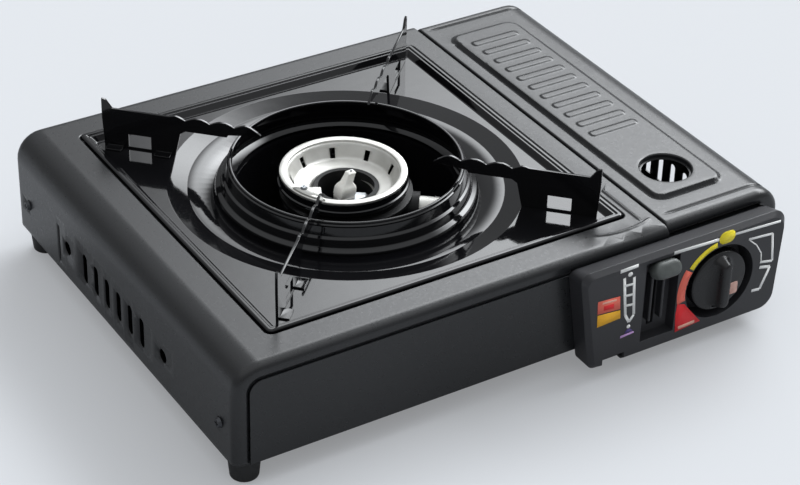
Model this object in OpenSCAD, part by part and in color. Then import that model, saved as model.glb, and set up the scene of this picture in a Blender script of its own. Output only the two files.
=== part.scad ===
// Tabletop butane stove with a side bay for a gas cartridge.
// +X runs to the right along the front, +Y to the back, +Z up.
// The origin is on the ground, under the middle of the stove's outline.

/* [Case] */
// Height of the case from its bottom edge to the deck
case_h = 58; // [54:1:66]
// Thickness of the case's steel sheet
sheet_t = 0.8; // [0.6:0.1:1.2]
// Bend radius between the deck and each side
side_r = 15; // [10:1:20]
// Radius of the curled front and back edges
end_r = 6; // [4:0.5:8]
// Width of the curled border round the front and rear panels
border_w = 8; // [7:0.5:11]
// Deck between the left side and the pan
left_margin = 31; // [26:1:40]
// Deck between the pan and the lid's seam
mid_margin = 15; // [12:1:22]
// Deck in front of the pan and behind it
end_margin = 21; // [18:1:30]
// Room between the lowest part of the case and the ground
ground_gap = 3.4; // [2:0.2:8]
// Height and width of each vent slot in the side walls
vent_h = 18; // [12:1:22]
vent_w = 5.5; // [4:0.5:7]
// Number of vent slots in each side wall
vent_count = 6; // [3:1:8]

/* [Feet] */
// Radius of a foot at its top
foot_r = 8.5; // [6:0.5:11]
// Distance from the case's edges to a foot's axis
foot_inset = 11; // [10.5:0.5:18]

/* [Pan] */
// Side of the square drip pan
pan_s = 216; // [180:1:260]
// Width of the pan's rolled rim
rim_w = 5; // [4:0.5:7]
// How far the rim stands above the deck
rim_proud = 1.2; // [0.6:0.2:2]
// Thickness of the pan's enamelled sheet
pan_t = 0.8; // [0.6:0.1:1.2]
// Outer radius of the pan's shallow round step
step_r = 95; // [84:1:110]
// Width and drop of that step
step_w = 8; // [4:0.5:11]
step_drop = 1.8; // [1:0.1:3]

/* [Collar] */
// Radius at the collar's top lip
collar_r = 63.5; // [56:0.5:68]
// Height of the collar above the deck
collar_h = 10.6; // [7:0.2:14]
// How much wider the collar is at its base
collar_flare = 7.5; // [4:0.5:9]

/* [Pan supports] */
// Height of the arms' top edge above the deck
arm_h = 21.3; // [18:0.5:26]
// Depth of an arm from its top edge to its underside
arm_depth = 8; // [6:0.5:9]
// Distance from the burner's axis to a support's outer edge
support_out = 139; // [125:1:150]
// Distance from the burner's axis to a support's inner tip
support_in = 48; // [40:1:54]
// Height of the horn above the arm
horn_h = 5; // [2:0.5:8]
// Thickness of a support's plate
plate_t = 1.5; // [1.2:0.1:2.5]

/* [Burner] */
// Outer radius of the burner's ring
ring_r = 35.4; // [30:0.2:40]
// Flat width of the ring's top
ring_w = 4; // [3:0.5:6]
// Radius of the opening in the middle of the burner
throat_r = 17; // [14:0.5:20]
// Height of the ring above the deck
ring_h = 4; // [1:0.5:8]
// Number of flame ports
port_count = 8; // [8:1:16]
// Radius of the mixing tube
tube_r = 7; // [5:0.5:9]

/* [Cartridge bay] */
// Width of the lid, from its seam to the case's right side
bay_w = 78; // [76:1:90]
// Diameter and length of the gas cartridge that the bay takes
cartridge_d = 66.6; // [60:0.2:67]
cartridge_l = 186; // [160:1:190]
// Spare height in the bay above the cartridge
bay_gap = 1.4; // [0.8:0.2:3]
// Radius of the viewing hole in the lid
view_r = 14; // [10:0.5:18]
// How far the lid opens
lid_open_z = 33; // [31:1:36]

/* [Controls] */
// Depth of the control panel in front of the case
panel_t = 15; // [12:0.5:20]
// How far the knob's grip stands out of the panel
knob_proud = 7; // [4:0.5:10]
// Radius of the knob's disc, and the gap round it in the panel's bowl
knob_r = 19.4; // [14:0.2:20]
knob_gap = 3.2; // [2:0.2:4]
// Radius of the valve spindle
spindle_r = 4; // [3:0.25:5]
// Swing of the lock lever each side of level
lever_swing = 30; // [20:1:34]
// Length of the crank that draws the latch yoke forward
crank_r = 5; // [3:0.5:6]
// Travel of the igniter's plunger
plunger_travel = 4; // [2:0.5:5]
// Turn of the knob from shut to the spark
knob_turn = 135; // [90:5:150]

/* [Hidden] */

$fn = 48;
eps = 0.01;
gap = 0.2;          // between sheet parts that touch
run = 0.06;         // radial clearance of a shaft in its hole

// Plan of the case.
case_w = left_margin + pan_s + mid_margin + bay_w;
valve_zone = 48;    // from the case's front to the cartridge
bay_end = foot_inset + foot_r + 4;  // from the cartridge to the case's back
case_d = max(pan_s + 2 * end_margin, valve_zone + cartridge_l + bay_end);
front_reach = panel_t + knob_proud;
x0 = -case_w / 2;
x1 = case_w / 2;
y0 = (front_reach - case_d) / 2;
y1 = y0 + case_d;
seam_x = x1 - bay_w;
seam_gap = 1.2;
burner_x = x0 + left_margin + pan_s / 2;
burner_y = (y0 + y1) / 2;
bay_x = (seam_x + x1) / 2;
trough_half = cartridge_d / 2 + 3.2;

// Levels: the trough under the cartridge sets how tall the feet are.
trough_drop = max(sheet_t + 2, cartridge_d + bay_gap + 2 * sheet_t - case_h);
base_z = trough_drop + ground_gap;
deck_z = base_z + case_h;
trough_z = base_z - trough_drop;
cartridge_z = trough_z + sheet_t + 0.3 + cartridge_d / 2;
lid_gap_y = 3;      // the lid is this much shorter than the case at each end

// Pan levels.
seat_drop = 3.6;
seat_s = pan_s + 2;
seat_hole_r = step_r + 4;
pan_z = deck_z - seat_drop + gap;
pan_floor = pan_z + pan_t;
pan_hole_r = collar_r - 2;

// Burner levels.
ring_z = deck_z + ring_h;
head_z = deck_z - 6;
base_top = head_z - gap;
base_low = deck_z - 30;
bracket_z = base_low - 1.2 - gap;
bowl_low = base_z + sheet_t + gap;
bowl_r = collar_r - 2.5;
bowl_top = deck_z - seat_drop - step_drop - 2;
tube_dir = atan2(y0 + 30 - burner_y, seam_x + 10 - burner_x);
tube_z = (base_low + base_top) / 2;

// Valve, knob and lever.
knob_x = x1 - 53;
knob_z = base_z + 24;
lever_x = x1 - 93;
lever_y = y0 + 14;
lever_z = base_z + 27;
lever_reach = front_reach + 9.4;
lever_l = lever_reach / cos(lever_swing);
shaft_r = 2.5;
cam_r = 8;
cam_y = y0 + 6.4;
piezo_x = knob_x + cam_r + plunger_travel + 7;
piezo_l = 17;
piezo_y = cam_y;
piezo_r = 4.6;
reg_y0 = y0 + 15;
reg_y1 = y0 + 36;
inlet_r = 6;
yoke_half = 27;
yoke_t = 1.2;
bracket_y = y0 + 41;
hinge_x = x1 - 3.5;
hinge_z = base_z + lid_open_z + 1;
pin_r = 1.5;

charcoal = "#3b3c3f";
black = "#141416";
steel = "#a9adb0";
alloy = "#d9dad6";

// ---- Shapes that several pieces share ----

// Section of the case across its length, drawn inward by e: a box with two bent top corners.
function bend(cx, cz, r, a0, a1, n = 8) =
    [for (i = [0:n]) let (a = a0 + (a1 - a0) * i / n) [cx + r * cos(a), cz + r * sin(a)]];
function case_section(e, low) =
    let (r = max(side_r - e, 1), xa = x0 + e, xb = x1 - e, zt = deck_z - e)
    concat([[xa, low]], bend(xa + r, zt - r, r, 180, 90), bend(xb - r, zt - r, r, 90, 0), [[xb, low]]);

// The case as a solid, inset by t, its ends at a distance from the case's front and back.
module case_solid(t, from_end, low) {
    ya = y0 + from_end + t;
    yb = y1 - from_end - t;
    r = end_r - t;
    steps = 4;
    turns = [for (i = [0:steps]) 90 * i / steps];
    rings = concat(
        [for (a = turns) [t + r * (1 - sin(a)), ya + r * (1 - cos(a))]],
        [for (i = [steps:-1:0]) [t + r * (1 - sin(turns[i])), yb - r * (1 - cos(turns[i]))]]);
    n = len(case_section(0, low));
    last = (len(rings) - 1) * n;
    polyhedron(
        [for (g = rings) for (p = case_section(g[0], low)) [p[0], g[1], p[1]]],
        concat(
            [[for (i = [0:n - 1]) i], [for (i = [n - 1:-1:0]) last + i]],
            [for (k = [0:len(rings) - 2], i = [0:n - 1])
                let (a = k * n + i, b = k * n + (i + 1) % n) each [[a, a + n, b], [b, a + n, b + n]]]));
}

// Flat outline of a slot with round ends, its length along Y.
module slot_shape(w, l) {
    square([w, l - w], center = true);
    for (s = [-1, 1]) translate([0, s * (l - w) / 2]) circle(d = w, $fn = 24);
}
module slot_x(w, h, depth) {
    rotate([90, 0, 90]) linear_extrude(depth, center = true) slot_shape(w, h);
}

module plate(xa, xb, ya, yb, za, zb) {
    translate([xa, ya, za]) cube([xb - xa, yb - ya, zb - za]);
}

module along_y(r, ya, yb, x, z) {
    translate([x, ya, z]) rotate([-90, 0, 0]) cylinder(r = r, h = yb - ya);
}

module along_x(r, xa, xb, y, z) {
    translate([xa, y, z]) rotate([0, 90, 0]) cylinder(r = r, h = xb - xa);
}

// Pan-head screw with its head at the origin, pointing along -Z.
module screw(d, l) {
    translate([0, 0, -l]) cylinder(d = d, h = l + eps, $fn = 24);
    difference() {
        cylinder(d1 = 2 * d, d2 = 1.5 * d, h = 0.55 * d, $fn = 24);
        translate([0, 0, 0.45 * d])
            for (a = [0, 90]) rotate(a) cube([1.2 * d, 0.22 * d, 0.4 * d], center = true);
    }
}

side_screw_spots = [y0 + 15.4, y1 - 15.4];

// Vent slots in a side wall, centred on the wall's middle.
vent_pitch = 13.6;
module side_vents(x, low_z) {
    for (i = [0:vent_count - 1])
        translate([x, burner_y + (i - (vent_count - 1) / 2) * vent_pitch + 6, low_z + vent_h / 2])
            slot_x(vent_w, vent_h, 4);
}

// Front and rear panels sit inside the curled border and have a bent-back edge.
panel_clear = 0.4;
end_return = 13;    // width of the right wall's bent ends
module end_panel(y_face, inward) {
    xa = x0 + border_w + panel_clear;
    xb = x1 - end_return - panel_clear;
    zt = deck_z - border_w - panel_clear;
    r = side_r - border_w;
    depth = 7;
    module face(e, low) {
        hull() {
            translate([xa + e + r, zt - r]) circle(r = r - e, $fn = 32);
            translate([xb - e - 1, zt - e - 1]) square(1);
            translate([xa + e, low]) square([xb - xa - 2 * e, 1]);
        }
    }
    translate([0, y_face, 0]) scale([1, inward, 1]) translate([0, depth, 0]) rotate([90, 0, 0])
        difference() {
            linear_extrude(depth) face(0, base_z);
            translate([0, 0, -sheet_t]) linear_extrude(depth) face(sheet_t, base_z - 2);
            translate([xa - 1, base_z - 1, -1]) cube([xb - xa + 2, sheet_t + gap + 1, depth + 1 - sheet_t]);
        }
}

// ---- Case ----

// Deck and left wall: one sheet with curled ends, a sunk seat for the pan and a folded seam edge.
module body_shell() {
    seam_edge = seam_x - seam_gap / 2;
    color(charcoal)
    difference() {
        union() {
            difference() {
                case_solid(0, 0, base_z);
                case_solid(sheet_t, 0, base_z - 1);
                plate(seam_edge, x1 + 1, y0 - 1, y1 + 1, base_z - 1, deck_z + 1);
                plate(x0 + border_w, x1, y0 - 1, y0 + end_r, base_z - 1, deck_z - border_w);
                plate(x0 + border_w, x1, y1 - end_r, y1 + 1, base_z - 1, deck_z - border_w);
                translate([burner_x, burner_y, deck_z]) cube([seat_s, seat_s, 8], center = true);
            }
            translate([burner_x, burner_y, 0])
                difference() {
                    plate(-seat_s / 2 - sheet_t, seat_s / 2 + sheet_t, -seat_s / 2 - sheet_t,
                        seat_s / 2 + sheet_t, deck_z - seat_drop - sheet_t, deck_z - sheet_t + eps);
                    plate(-seat_s / 2, seat_s / 2, -seat_s / 2, seat_s / 2, deck_z - seat_drop, deck_z + 1);
                }
            plate(seam_edge - sheet_t, seam_edge, y0 + end_r, y1 - end_r, deck_z - border_w, deck_z - sheet_t + eps);
            corner_bead();
        }
        translate([burner_x, burner_y, deck_z - 10]) cylinder(r = seat_hole_r, h = 12, $fn = 96);
        side_vents(x0, base_z + 10.5);
        for (y = [burner_y - 52, burner_y + 62])
            along_x(4, x0 - 1, x0 + 2, y, base_z + 20);
        for (y = side_screw_spots) along_x(1.7, x0 - 1, x0 + 2, y, base_z + 19);
        plate(x0 - 1, x0 + 2, burner_y + 72, burner_y + 73.4, base_z + 6, base_z + 29);
    }
}

// Raised line round the pan's right front corner.
module corner_bead() {
    off = 6.5;
    cx = burner_x + pan_s / 2 + off;
    cy = burner_y - pan_s / 2 - off;
    module bar(xa, xb, ya, yb) { plate(xa, xb, ya, yb, deck_z - eps, deck_z + 0.6); }
    bar(cx - 1, cx + 1, cy + 3, cy + 34);
    bar(cx - 34, cx - 3, cy - 1, cy + 1);
}

module front_panel() {
    color(charcoal)
    difference() {
        end_panel(y0 - 0.8, 1);
        along_y(spindle_r + 2, y0 - 4, y0 + 4, knob_x, knob_z);
        plate(lever_x - 2.5, lever_x + 2.5, y0 - 4, y0 + 4, lever_z - 14, lever_z + 14);
        panel_screw_places() along_hole(1.3);
    }
}

module rear_panel() {
    color(charcoal)
    difference() {
        end_panel(y1, -1);
        for (i = [-4:4])
            translate([burner_x + i * 14, y1, base_z + 30]) rotate(90) slot_x(5, 20, 8);
    }
}

// Wall beside the cartridge: its ends are bent in behind the panels.
right_wall_h = lid_open_z - 3.5;
module right_wall() {
    t = sheet_t;
    color(charcoal)
    difference() {
        union() {
            plate(x1 - t, x1, y0 + 7, y1 - 7, base_z, base_z + right_wall_h);
            plate(x1 - end_return, x1, y0 + 7, y0 + 7 + t, base_z + t + gap, base_z + right_wall_h);
            plate(x1 - end_return, x1, y1 - 7 - t, y1 - 7, base_z + t + gap, base_z + right_wall_h);
        }
        side_vents(x1, base_z + 5);
        for (y = side_screw_spots) along_x(1.7, x1 - 2, x1 + 1, y, base_z + 19);
    }
}

// Bottom tray with a trough under the cartridge and edges turned up inside the walls.
module base_plate() {
    t = sheet_t;
    xa = x0 + t + gap;
    xb = x1 - t - gap;
    ya = y0 + 2.4;
    yb = y1 - 1.2;
    cut = end_r - 1;
    trough_y0 = y0 + valve_zone - 3;
    trough_y1 = y1 - foot_inset - foot_r - 1.6;
    lip = 7;
    color(charcoal)
    difference() {
        union() {
            translate([0, 0, base_z]) linear_extrude(t)
                polygon([[xa + cut, ya], [xb - cut, ya], [xb, ya + cut], [xb, yb - cut],
                    [xb - cut, yb], [xa + cut, yb], [xa, yb - cut], [xa, ya + cut]]);
            plate(xa, xa + t, ya + 19, yb - 19, base_z, base_z + lip);
            plate(xb - t, xb, ya + 19, yb - 19, base_z, base_z + lip);
            plate(bay_x - trough_half - t, bay_x + trough_half + t, trough_y0 - t, trough_y1 + t,
                trough_z, base_z + eps);
        }
        plate(bay_x - trough_half, bay_x + trough_half, trough_y0, trough_y1, trough_z + t, base_z + lip);
        foot_places() cylinder(d = 4.4, h = 12, center = true, $fn = 24);
        for (i = [0:4], s = [-1, 1])
            translate([burner_x + s * 60, burner_y + (i - 2) * 16, base_z])
                rotate(90) linear_extrude(6, center = true) slot_shape(5, 33);
        for (i = [0:2])
            along_z(9, trough_z - 1, trough_z + 3, bay_x, trough_y0 + 40 + 55 * i);
    }
}

module along_z(r, za, zb, x, y) {
    translate([x, y, za]) cylinder(r = r, h = zb - za);
}

// Upright wall between the burner and the cartridge.
partition_x = seam_x - seam_gap / 2 - 4;
module partition() {
    t = sheet_t;
    color(charcoal)
    difference() {
        union() {
            plate(partition_x, partition_x + t, y0 + 8, y1 - 8, base_z + t + gap, deck_z - t - gap);
            plate(partition_x - 8, partition_x + eps, y0 + 8, y1 - 8, base_z + t + gap, base_z + 2 * t + gap);
        }
        translate([burner_x, burner_y, tube_z]) rotate(tube_dir)
            translate([100, 0, 0]) rotate([0, 90, 0]) cylinder(r = tube_r + 4, h = 100);
        plate(partition_x - 10, partition_x + 3, burner_y - heat_w / 2 - 1, burner_y + heat_w / 2 + 1,
            heat_z - 1, heat_z + heat_t + 1);
        along_x(grommet_r, partition_x - 1, partition_x + 3, wire_cross[1], wire_cross[2]);
        plate(partition_x - 9, partition_x + 3, y0, y0 + 22, base_z - 1, base_z + case_h);
    }
}

// Lid over the cartridge: wraps the right edge, turns on two pins near its lower edge.
field_rise = 1;
module cartridge_lid() {
    t = sheet_t;
    xa = seam_x + seam_gap / 2;
    fx0 = xa + 9;
    fx1 = x1 - 23;
    fy0 = y0 + 28;
    fy1 = y1 - 26;
    module lid_cut() {
        plate(x0 - 1, xa, y0 - 1, y1 + 1, 0, deck_z + 5);
        plate(x0 - 1, x1 + 1, y0 - 1, y1 + 1, 0, base_z + lid_open_z);
    }
    color(charcoal)
    difference() {
        union() {
            difference() {
                case_solid(0, lid_gap_y, base_z);
                case_solid(t, lid_gap_y, base_z - 1);
                lid_cut();
                plate(xa - 1, x1 - 12, y0, y0 + lid_gap_y + end_r, 0, deck_z - end_r);
                plate(xa - 1, x1 - 12, y1 - lid_gap_y - end_r, y1, 0, deck_z - end_r);
            }
            plate(xa, xa + t, y0 + 9, y1 - 9, deck_z - 6, deck_z - t + eps);
            translate([0, 0, deck_z - t]) field(fx0, fx1, fy0, fy1, field_rise + t);
            for (i = [0:10])
                plate(fx0 + 7, fx1 - 7, fy0 + 66 + i * 12, fy0 + 71 + i * 12,
                    deck_z + field_rise - eps, deck_z + field_rise + 0.5);
            for (y = [y0 + lid_gap_y + 5, y1 - lid_gap_y - 5]) lid_ear(y);
        }
        translate([0, 0, deck_z - t - 1]) field(fx0 + t, fx1 - t, fy0 + t, fy1 - t, field_rise + 1);
        along_z(view_r, deck_z - 5, deck_z + 5, fx0 + 23, fy0 + 21);
        along_y(pin_r + run, y0, y1, hinge_x, hinge_z);
        for (y = [y0 + lid_gap_y + 5, y1 - lid_gap_y - 5 - 5])
            plate(x1 - 1.6, x1 + 1, y + 1.2, y + 4.6, hinge_z - 3, hinge_z + 5);
    }
}

// Rounded rectangle, raised field of the lid.
module field(xa, xb, ya, yb, h) {
    r = 7;
    linear_extrude(h)
        hull()
            for (x = [xa + r, xb - r], y = [ya + r, yb - r])
                translate([x, y]) circle(r = r, $fn = 32);
}

// Ear inside each end of the lid, with the hole for its hinge pin.
module lid_ear(y) {
    translate([0, y + 0.6, 0]) rotate([90, 0, 0]) linear_extrude(1.2)
        polygon([[hinge_x - 3.2, hinge_z - 1], [hinge_x + 3, hinge_z - 1], [x1 - sheet_t + eps, hinge_z],
            [x1 - sheet_t + eps, deck_z - side_r], [hinge_x - 3.2, deck_z - side_r]]);
}

// Two pins, each riveted to a tab of the end wall.
module lid_hinge_pins() {
    color(steel)
    for (back = [0, 1]) {
        ye = back ? y1 - lid_gap_y - 5 : y0 + lid_gap_y + 5;
        s = back ? -1 : 1;
        translate([hinge_x, ye, hinge_z]) rotate([-90 * s, 0, 0]) {
            translate([0, 0, -3]) cylinder(r = pin_r, h = 6, $fn = 32);
            translate([0, 0, 2.6]) cylinder(r = pin_r + 1.2, h = 1.4, $fn = 32);
        }
        za = base_z + sheet_t + gap;
        ya = ye + s * 2.6;
        difference() {
            plate(hinge_x - 5, hinge_x + 2.4, min(ya, ya + s * 1.2), max(ya, ya + s * 1.2), za, hinge_z + 4);
            along_y(pin_r, ya - 4, ya + 4, hinge_x, hinge_z);
        }
        plate(hinge_x - 5, hinge_x + 2.4, min(ya, ya + s * 7), max(ya, ya + s * 7), za, za + 1.2);
    }
}

// Small screws through the side walls into the panels' bent edges.
module case_screws() {
    color(black)
    for (y = side_screw_spots) {
        translate([x0 - gap, y, base_z + 19]) rotate([0, -90, 0]) screw(3, 5);
        translate([x1 + gap, y, base_z + 19]) rotate([0, 90, 0]) screw(3, 5);
    }
}

// ---- Pan, collar and supports: they lift off together ----

// Square tray: rolled rim, flat floor, shallow round step down to the hole under the collar.
module drip_pan() {
    s = pan_s / 2;
    rim_top = deck_z + rim_proud;
    color(black)
    translate([burner_x, burner_y, 0])
        difference() {
            union() {
                plate(-s, s, -s, s, pan_z, rim_top);
                translate([0, 0, pan_z - step_drop])
                    cylinder(r1 = step_r - step_w + pan_t, r2 = step_r + pan_t, h = step_drop + eps, $fn = 96);
            }
            plate(rim_w - s, s - rim_w, rim_w - s, s - rim_w, pan_floor, rim_top + 1);
            translate([0, 0, pan_floor - step_drop])
                cylinder(r1 = step_r - step_w, r2 = step_r, h = step_drop + eps, $fn = 96);
            translate([0, 0, pan_z - step_drop - 1]) cylinder(r = pan_hole_r, h = 20, $fn = 96);
            rim_underside(s);
        }
}

// Hollow under the rolled rim.
module rim_underside(s) {
    h = deck_z + rim_proud - pan_t;
    difference() {
        plate(pan_t - s, s - pan_t, pan_t - s, s - pan_t, pan_z - 1, h);
        plate(rim_w - pan_t - s, s - rim_w + pan_t, rim_w - pan_t - s, s - rim_w + pan_t, pan_z - 2, h + 1);
    }
}

// Drawn ring round the burner: a lip, a bead and a flared foot that is riveted to the pan.
module wind_collar() {
    t = pan_t;
    zb = pan_floor - step_drop;
    zt = deck_z + collar_h;
    rb = collar_r + collar_flare;
    color(black)
    translate([burner_x, burner_y, 0])
        rotate_extrude($fn = 96)
            polygon([
                [rb, zb], [rb, zb + t], [rb - 2, zb + 2.5], [collar_r + 3.4, zt - 4.5], [collar_r + 2, zt - 3],
                [collar_r + 1.6, zt - 1], [collar_r, zt], [collar_r - 1.6, zt - 0.6], [collar_r - 2, zt - 3],
                [collar_r - 0.4, zt - 3.4], [collar_r + 0.4, zt - 4.4], [collar_r + 2, zt - 6],
                [rb - 3.2, zb + 2], [rb - 3.6, zb]
            ]);
}

// Outline of a support: distance from the burner's axis across, height above the pan's floor up.
leg_in = 94;
leg_out = support_out - 1;
window_a = 111;
window_b = 124;
window_h = 9;
tooth_depth = 2.4;
module support_outline() {
    top = arm_h + seat_drop - pan_t - gap;
    under = top - arm_depth;
    difference() {
        polygon(concat(
            [[leg_in + 3, 0], [leg_in, under - 2], [leg_in - 3, under]],
            [[collar_r + 4, under], [collar_r + 3, under + 1.5], [support_in + 6, under + 3], [support_in, top - 4]],
            [[support_in + 2, top - 2.5], [support_in + 6, top]],
            tooth_row(support_in + 8, leg_in + 4, 3, top),
            [[leg_in + 6, top]],
            [[support_out - 6, top], [support_out - 2.4, top + horn_h], [support_out, top + horn_h + 0.6]],
            [[leg_out + 1, top - 6], [leg_out, 0]]
        ));
        translate([window_a, 1.2]) square([window_b - window_a, window_h - 1.2]);
    }
}

// Rounded teeth between two places on the arm's top edge.
function tooth_row(from, to, count, top) =
    [for (i = [0:count * 8])
        let (u = i / 8, wave = abs(cos(180 * u)))
        [from + (to - from) * u / count, top + 0.9 - tooth_depth * (1 - wave) - 0.9 * (i % 8 == 0 ? 0.3 : 0)]];

// One support stands on the pan along a diagonal.
module pan_support(angle) {
    color(black)
    translate([burner_x, burner_y, pan_floor])
        rotate(angle)
            translate([0, plate_t / 2, 0]) rotate([90, 0, 0]) {
                linear_extrude(plate_t) support_outline();
                for (a = [leg_in + 5, window_b + 3])
                    translate([a, 0, -5]) cube([9, 1, 5 + eps]);
            }
}

module pan_support_left() { pan_support(135); }
module pan_support_right() { pan_support(-45); }
module pan_support_back() { pan_support(45); }
module pan_support_front() { pan_support(-135); }

// ---- Burner ----

// Deep dish under the pan that keeps the flame's air apart from the case.
module burner_bowl() {
    t = sheet_t;
    color(black)
    difference() {
        translate([burner_x, burner_y, 0])
            rotate_extrude($fn = 96)
                polygon([
                    [12, bowl_low], [bowl_r - 8, bowl_low], [bowl_r - 2, bowl_low + 8], [bowl_r, bowl_top - t],
                    [bowl_r + 5, bowl_top - t], [bowl_r + 5, bowl_top], [bowl_r - t, bowl_top],
                    [bowl_r - 2 - t, bowl_low + 8.4], [bowl_r - 8.5, bowl_low + t], [12, bowl_low + t]
                ]);
        translate([burner_x, burner_y, tube_z]) rotate([0, 90, tube_dir])
            cylinder(r = tube_r + 1.5, h = 90);
        translate([burner_x, burner_y, 0])
            for (a = [0, 90, 180, 270]) rotate(a + 20) translate([32, 0, bowl_low - 1]) cylinder(r = 6, h = 4);
        translate([burner_x, burner_y, wire_low]) rotate([0, 90, wire_dir])
            translate([0, 0, bowl_r - 12]) cylinder(r = 4, h = 20);
    }
}

// Strip across the bowl that carries the burner; its ends are bent down to the bowl's floor.
strip_w = 16;
strip_end = 46;
module burner_bracket() {
    t = 1.2;
    za = bowl_low + sheet_t + gap;
    color(steel)
    translate([burner_x, burner_y, 0]) rotate(14)
        difference() {
            union() {
                plate(-strip_end, strip_end, -strip_w / 2, strip_w / 2, bracket_z, bracket_z + t);
                cylinder_ring(23, 12.5, bracket_z, bracket_z + t);
                for (s = [-1, 1]) {
                    plate(min(s * strip_end, s * (strip_end - t)), max(s * strip_end, s * (strip_end - t)),
                        -strip_w / 2, strip_w / 2, za, bracket_z + t);
                    plate(min(s * strip_end, s * (strip_end - 12)), max(s * strip_end, s * (strip_end - 12)),
                        -strip_w / 2, strip_w / 2, za, za + t);
                }
            }
            along_z(12.5, bracket_z - 1, bracket_z + 3, 0, 0);
            for (s = [-1, 1]) {
                along_z(1.6, bracket_z - 1, bracket_z + 3, s * 19, 0);
                along_z(1.6, za - 1, za + 3, s * (strip_end - 7), 0);
            }
        }
}

module cylinder_ring(ro, ri, za, zb) {
    difference() {
        along_z(ro, za, zb, 0, 0);
        along_z(ri, za - 1, zb + 1, 0, 0);
    }
}

// Screws that hold the bracket to the bowl's floor.
module bracket_screws() {
    za = bowl_low + sheet_t + gap + 1.2;
    color(steel)
    translate([burner_x, burner_y, 0]) rotate(14)
        for (s = [-1, 1]) translate([s * (strip_end - 7), 0, za + gap]) screw(3, 1.2);
}

// Cast mixing chamber: a ring-shaped trough, open at the top, with a side entry for the tube.
base_in = throat_r - 1.5;
module burner_base() {
    color(alloy)
    translate([burner_x, burner_y, 0])
        difference() {
            union() {
                rotate_extrude($fn = 72)
                    polygon([
                        [base_in, base_low], [base_in + 8, base_low], [ring_r - 4, base_low + 10], [ring_r - 2, base_top - 5],
                        [ring_r + 1, base_top - 4], [ring_r + 1, base_top - 2], [ring_r - 2.4, base_top - 1.4], [ring_r - 2.4, base_top],
                        [ring_r - 5, base_top], [ring_r - 6.5, base_low + 12], [base_in + 7, base_low + 3],
                        [base_in + 2.5, base_low + 3], [base_in + 2.5, base_top], [base_in, base_top]
                    ]);
                rotate([0, 90, tube_dir]) translate([-tube_z, 0, ring_r - 8]) cylinder(r = tube_r + 2.4, h = 13);
            }
            rotate([0, 90, tube_dir]) translate([-tube_z, 0, ring_r - 14]) cylinder(r = tube_r + run, h = 30);
            for (s = [-1, 1]) rotate(14) along_z(1.3, base_low - 1, base_low + 2, s * 19, 0);
        }
}

// Bright ring: flat rim, cone down to the throat, flame ports through the cone.
cone_low = deck_z - 5;
module burner_head() {
    t = 2;
    color(alloy)
    translate([burner_x, burner_y, 0])
        difference() {
            rotate_extrude($fn = 96)
                polygon([
                    [ring_r - 0.6, ring_z], [ring_r, ring_z - 0.8], [ring_r, head_z], [ring_r - t, head_z],
                    [ring_r - t, ring_z - 3], [ring_r - ring_w, ring_z - 3.4], [throat_r + t, cone_low - t],
                    [throat_r + 0.8, head_z], [throat_r - 0.8, head_z], [throat_r, cone_low],
                    [ring_r - ring_w, ring_z]
                ]);
            for (i = [0:port_count - 1])
                rotate(i * 360 / port_count + 26.5)
                    translate([throat_r + 8, 0, deck_z - 1])
                        cube([9, 2.4, 6], center = true);
        }
}

// Flat tab on the ring that shields the igniter.
tab_dir = -158;
module burner_tab() {
    color(alloy)
    translate([burner_x, burner_y, ring_z + gap])
        difference() {
            intersection() {
                rotate(tab_dir) plate(21, 40, -11, 11, 0, 0.8);
                cylinder(r = ring_r - 0.4, h = 2);
            }
            rotate(tab_dir) along_z(1.6, -1, 2, ring_r - 4.5, -5);
        }
}

// Screws through the bracket into the burner's base, and one through the tab.
module burner_screws() {
    color(steel)
    translate([burner_x, burner_y, 0]) {
        rotate(14)
            for (s = [-1, 1])
                translate([s * 19, 0, bracket_z - gap]) rotate([180, 0, 0]) screw(2.5, 3);
        rotate(tab_dir) translate([ring_r - 4.5, -5, ring_z + 1.2]) screw(2, 0.8);
    }
}

// Aluminium tube with a belled mouth near the valve.
tube_from = ring_r - 7;
tube_to = norm([seam_x + 4 - burner_x, y0 + 34 - burner_y]);
module mixing_tube() {
    color(alloy)
    translate([burner_x, burner_y, tube_z]) rotate([0, 90, tube_dir])
        rotate_extrude($fn = 48)
            polygon([
                [tube_r - 1, tube_from], [tube_r, tube_from], [tube_r, tube_to - 16], [tube_r + 2.4, tube_to - 9],
                [tube_r + 2.4, tube_to], [tube_r + 1.4, tube_to], [tube_r + 1.4, tube_to - 9], [tube_r - 1, tube_to - 16]
            ]);
}

// Brass jet at the mouth of the tube, screwed into the regulator.
reg_port = [seam_x + 12, y0 + 26];
module injector() {
    color("#c8a24a")
    translate([burner_x, burner_y, tube_z]) rotate([0, 90, tube_dir])
        translate([0, 0, tube_to - 6])
            difference() {
                union() {
                    cylinder(r1 = 2, r2 = 3.5, h = 6, $fn = 32);
                    translate([0, 0, 5.9]) cylinder(r = 5, h = 4, $fn = 6);
                    translate([0, 0, 9.8]) cylinder(r = 3, h = 5, $fn = 32);
                }
                translate([0, 0, -1]) cylinder(r = 0.8, h = 20, $fn = 24);
            }
}

// ---- Igniter at the burner ----

post_x = 6;
// Upright strip from the bracket that holds the insulator in the burner's throat.
module electrode_holder() {
    t = 1;
    z = bracket_z + 1.2 + gap;
    color(steel)
    translate([burner_x, burner_y, 0]) rotate(-35)
        difference() {
            union() {
                plate(post_x + 4.4, post_x + 4.4 + t, -4, 4, z, deck_z - 14);
                plate(post_x + 4.4, 14.6, -4, 4, z, z + t);
                plate(-4.5, post_x + 4.6, -4, 4, deck_z - 14, deck_z - 14 + t);
            }
            along_z(3 + run, deck_z - 20, deck_z, 0, 0);
        }
}

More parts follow.
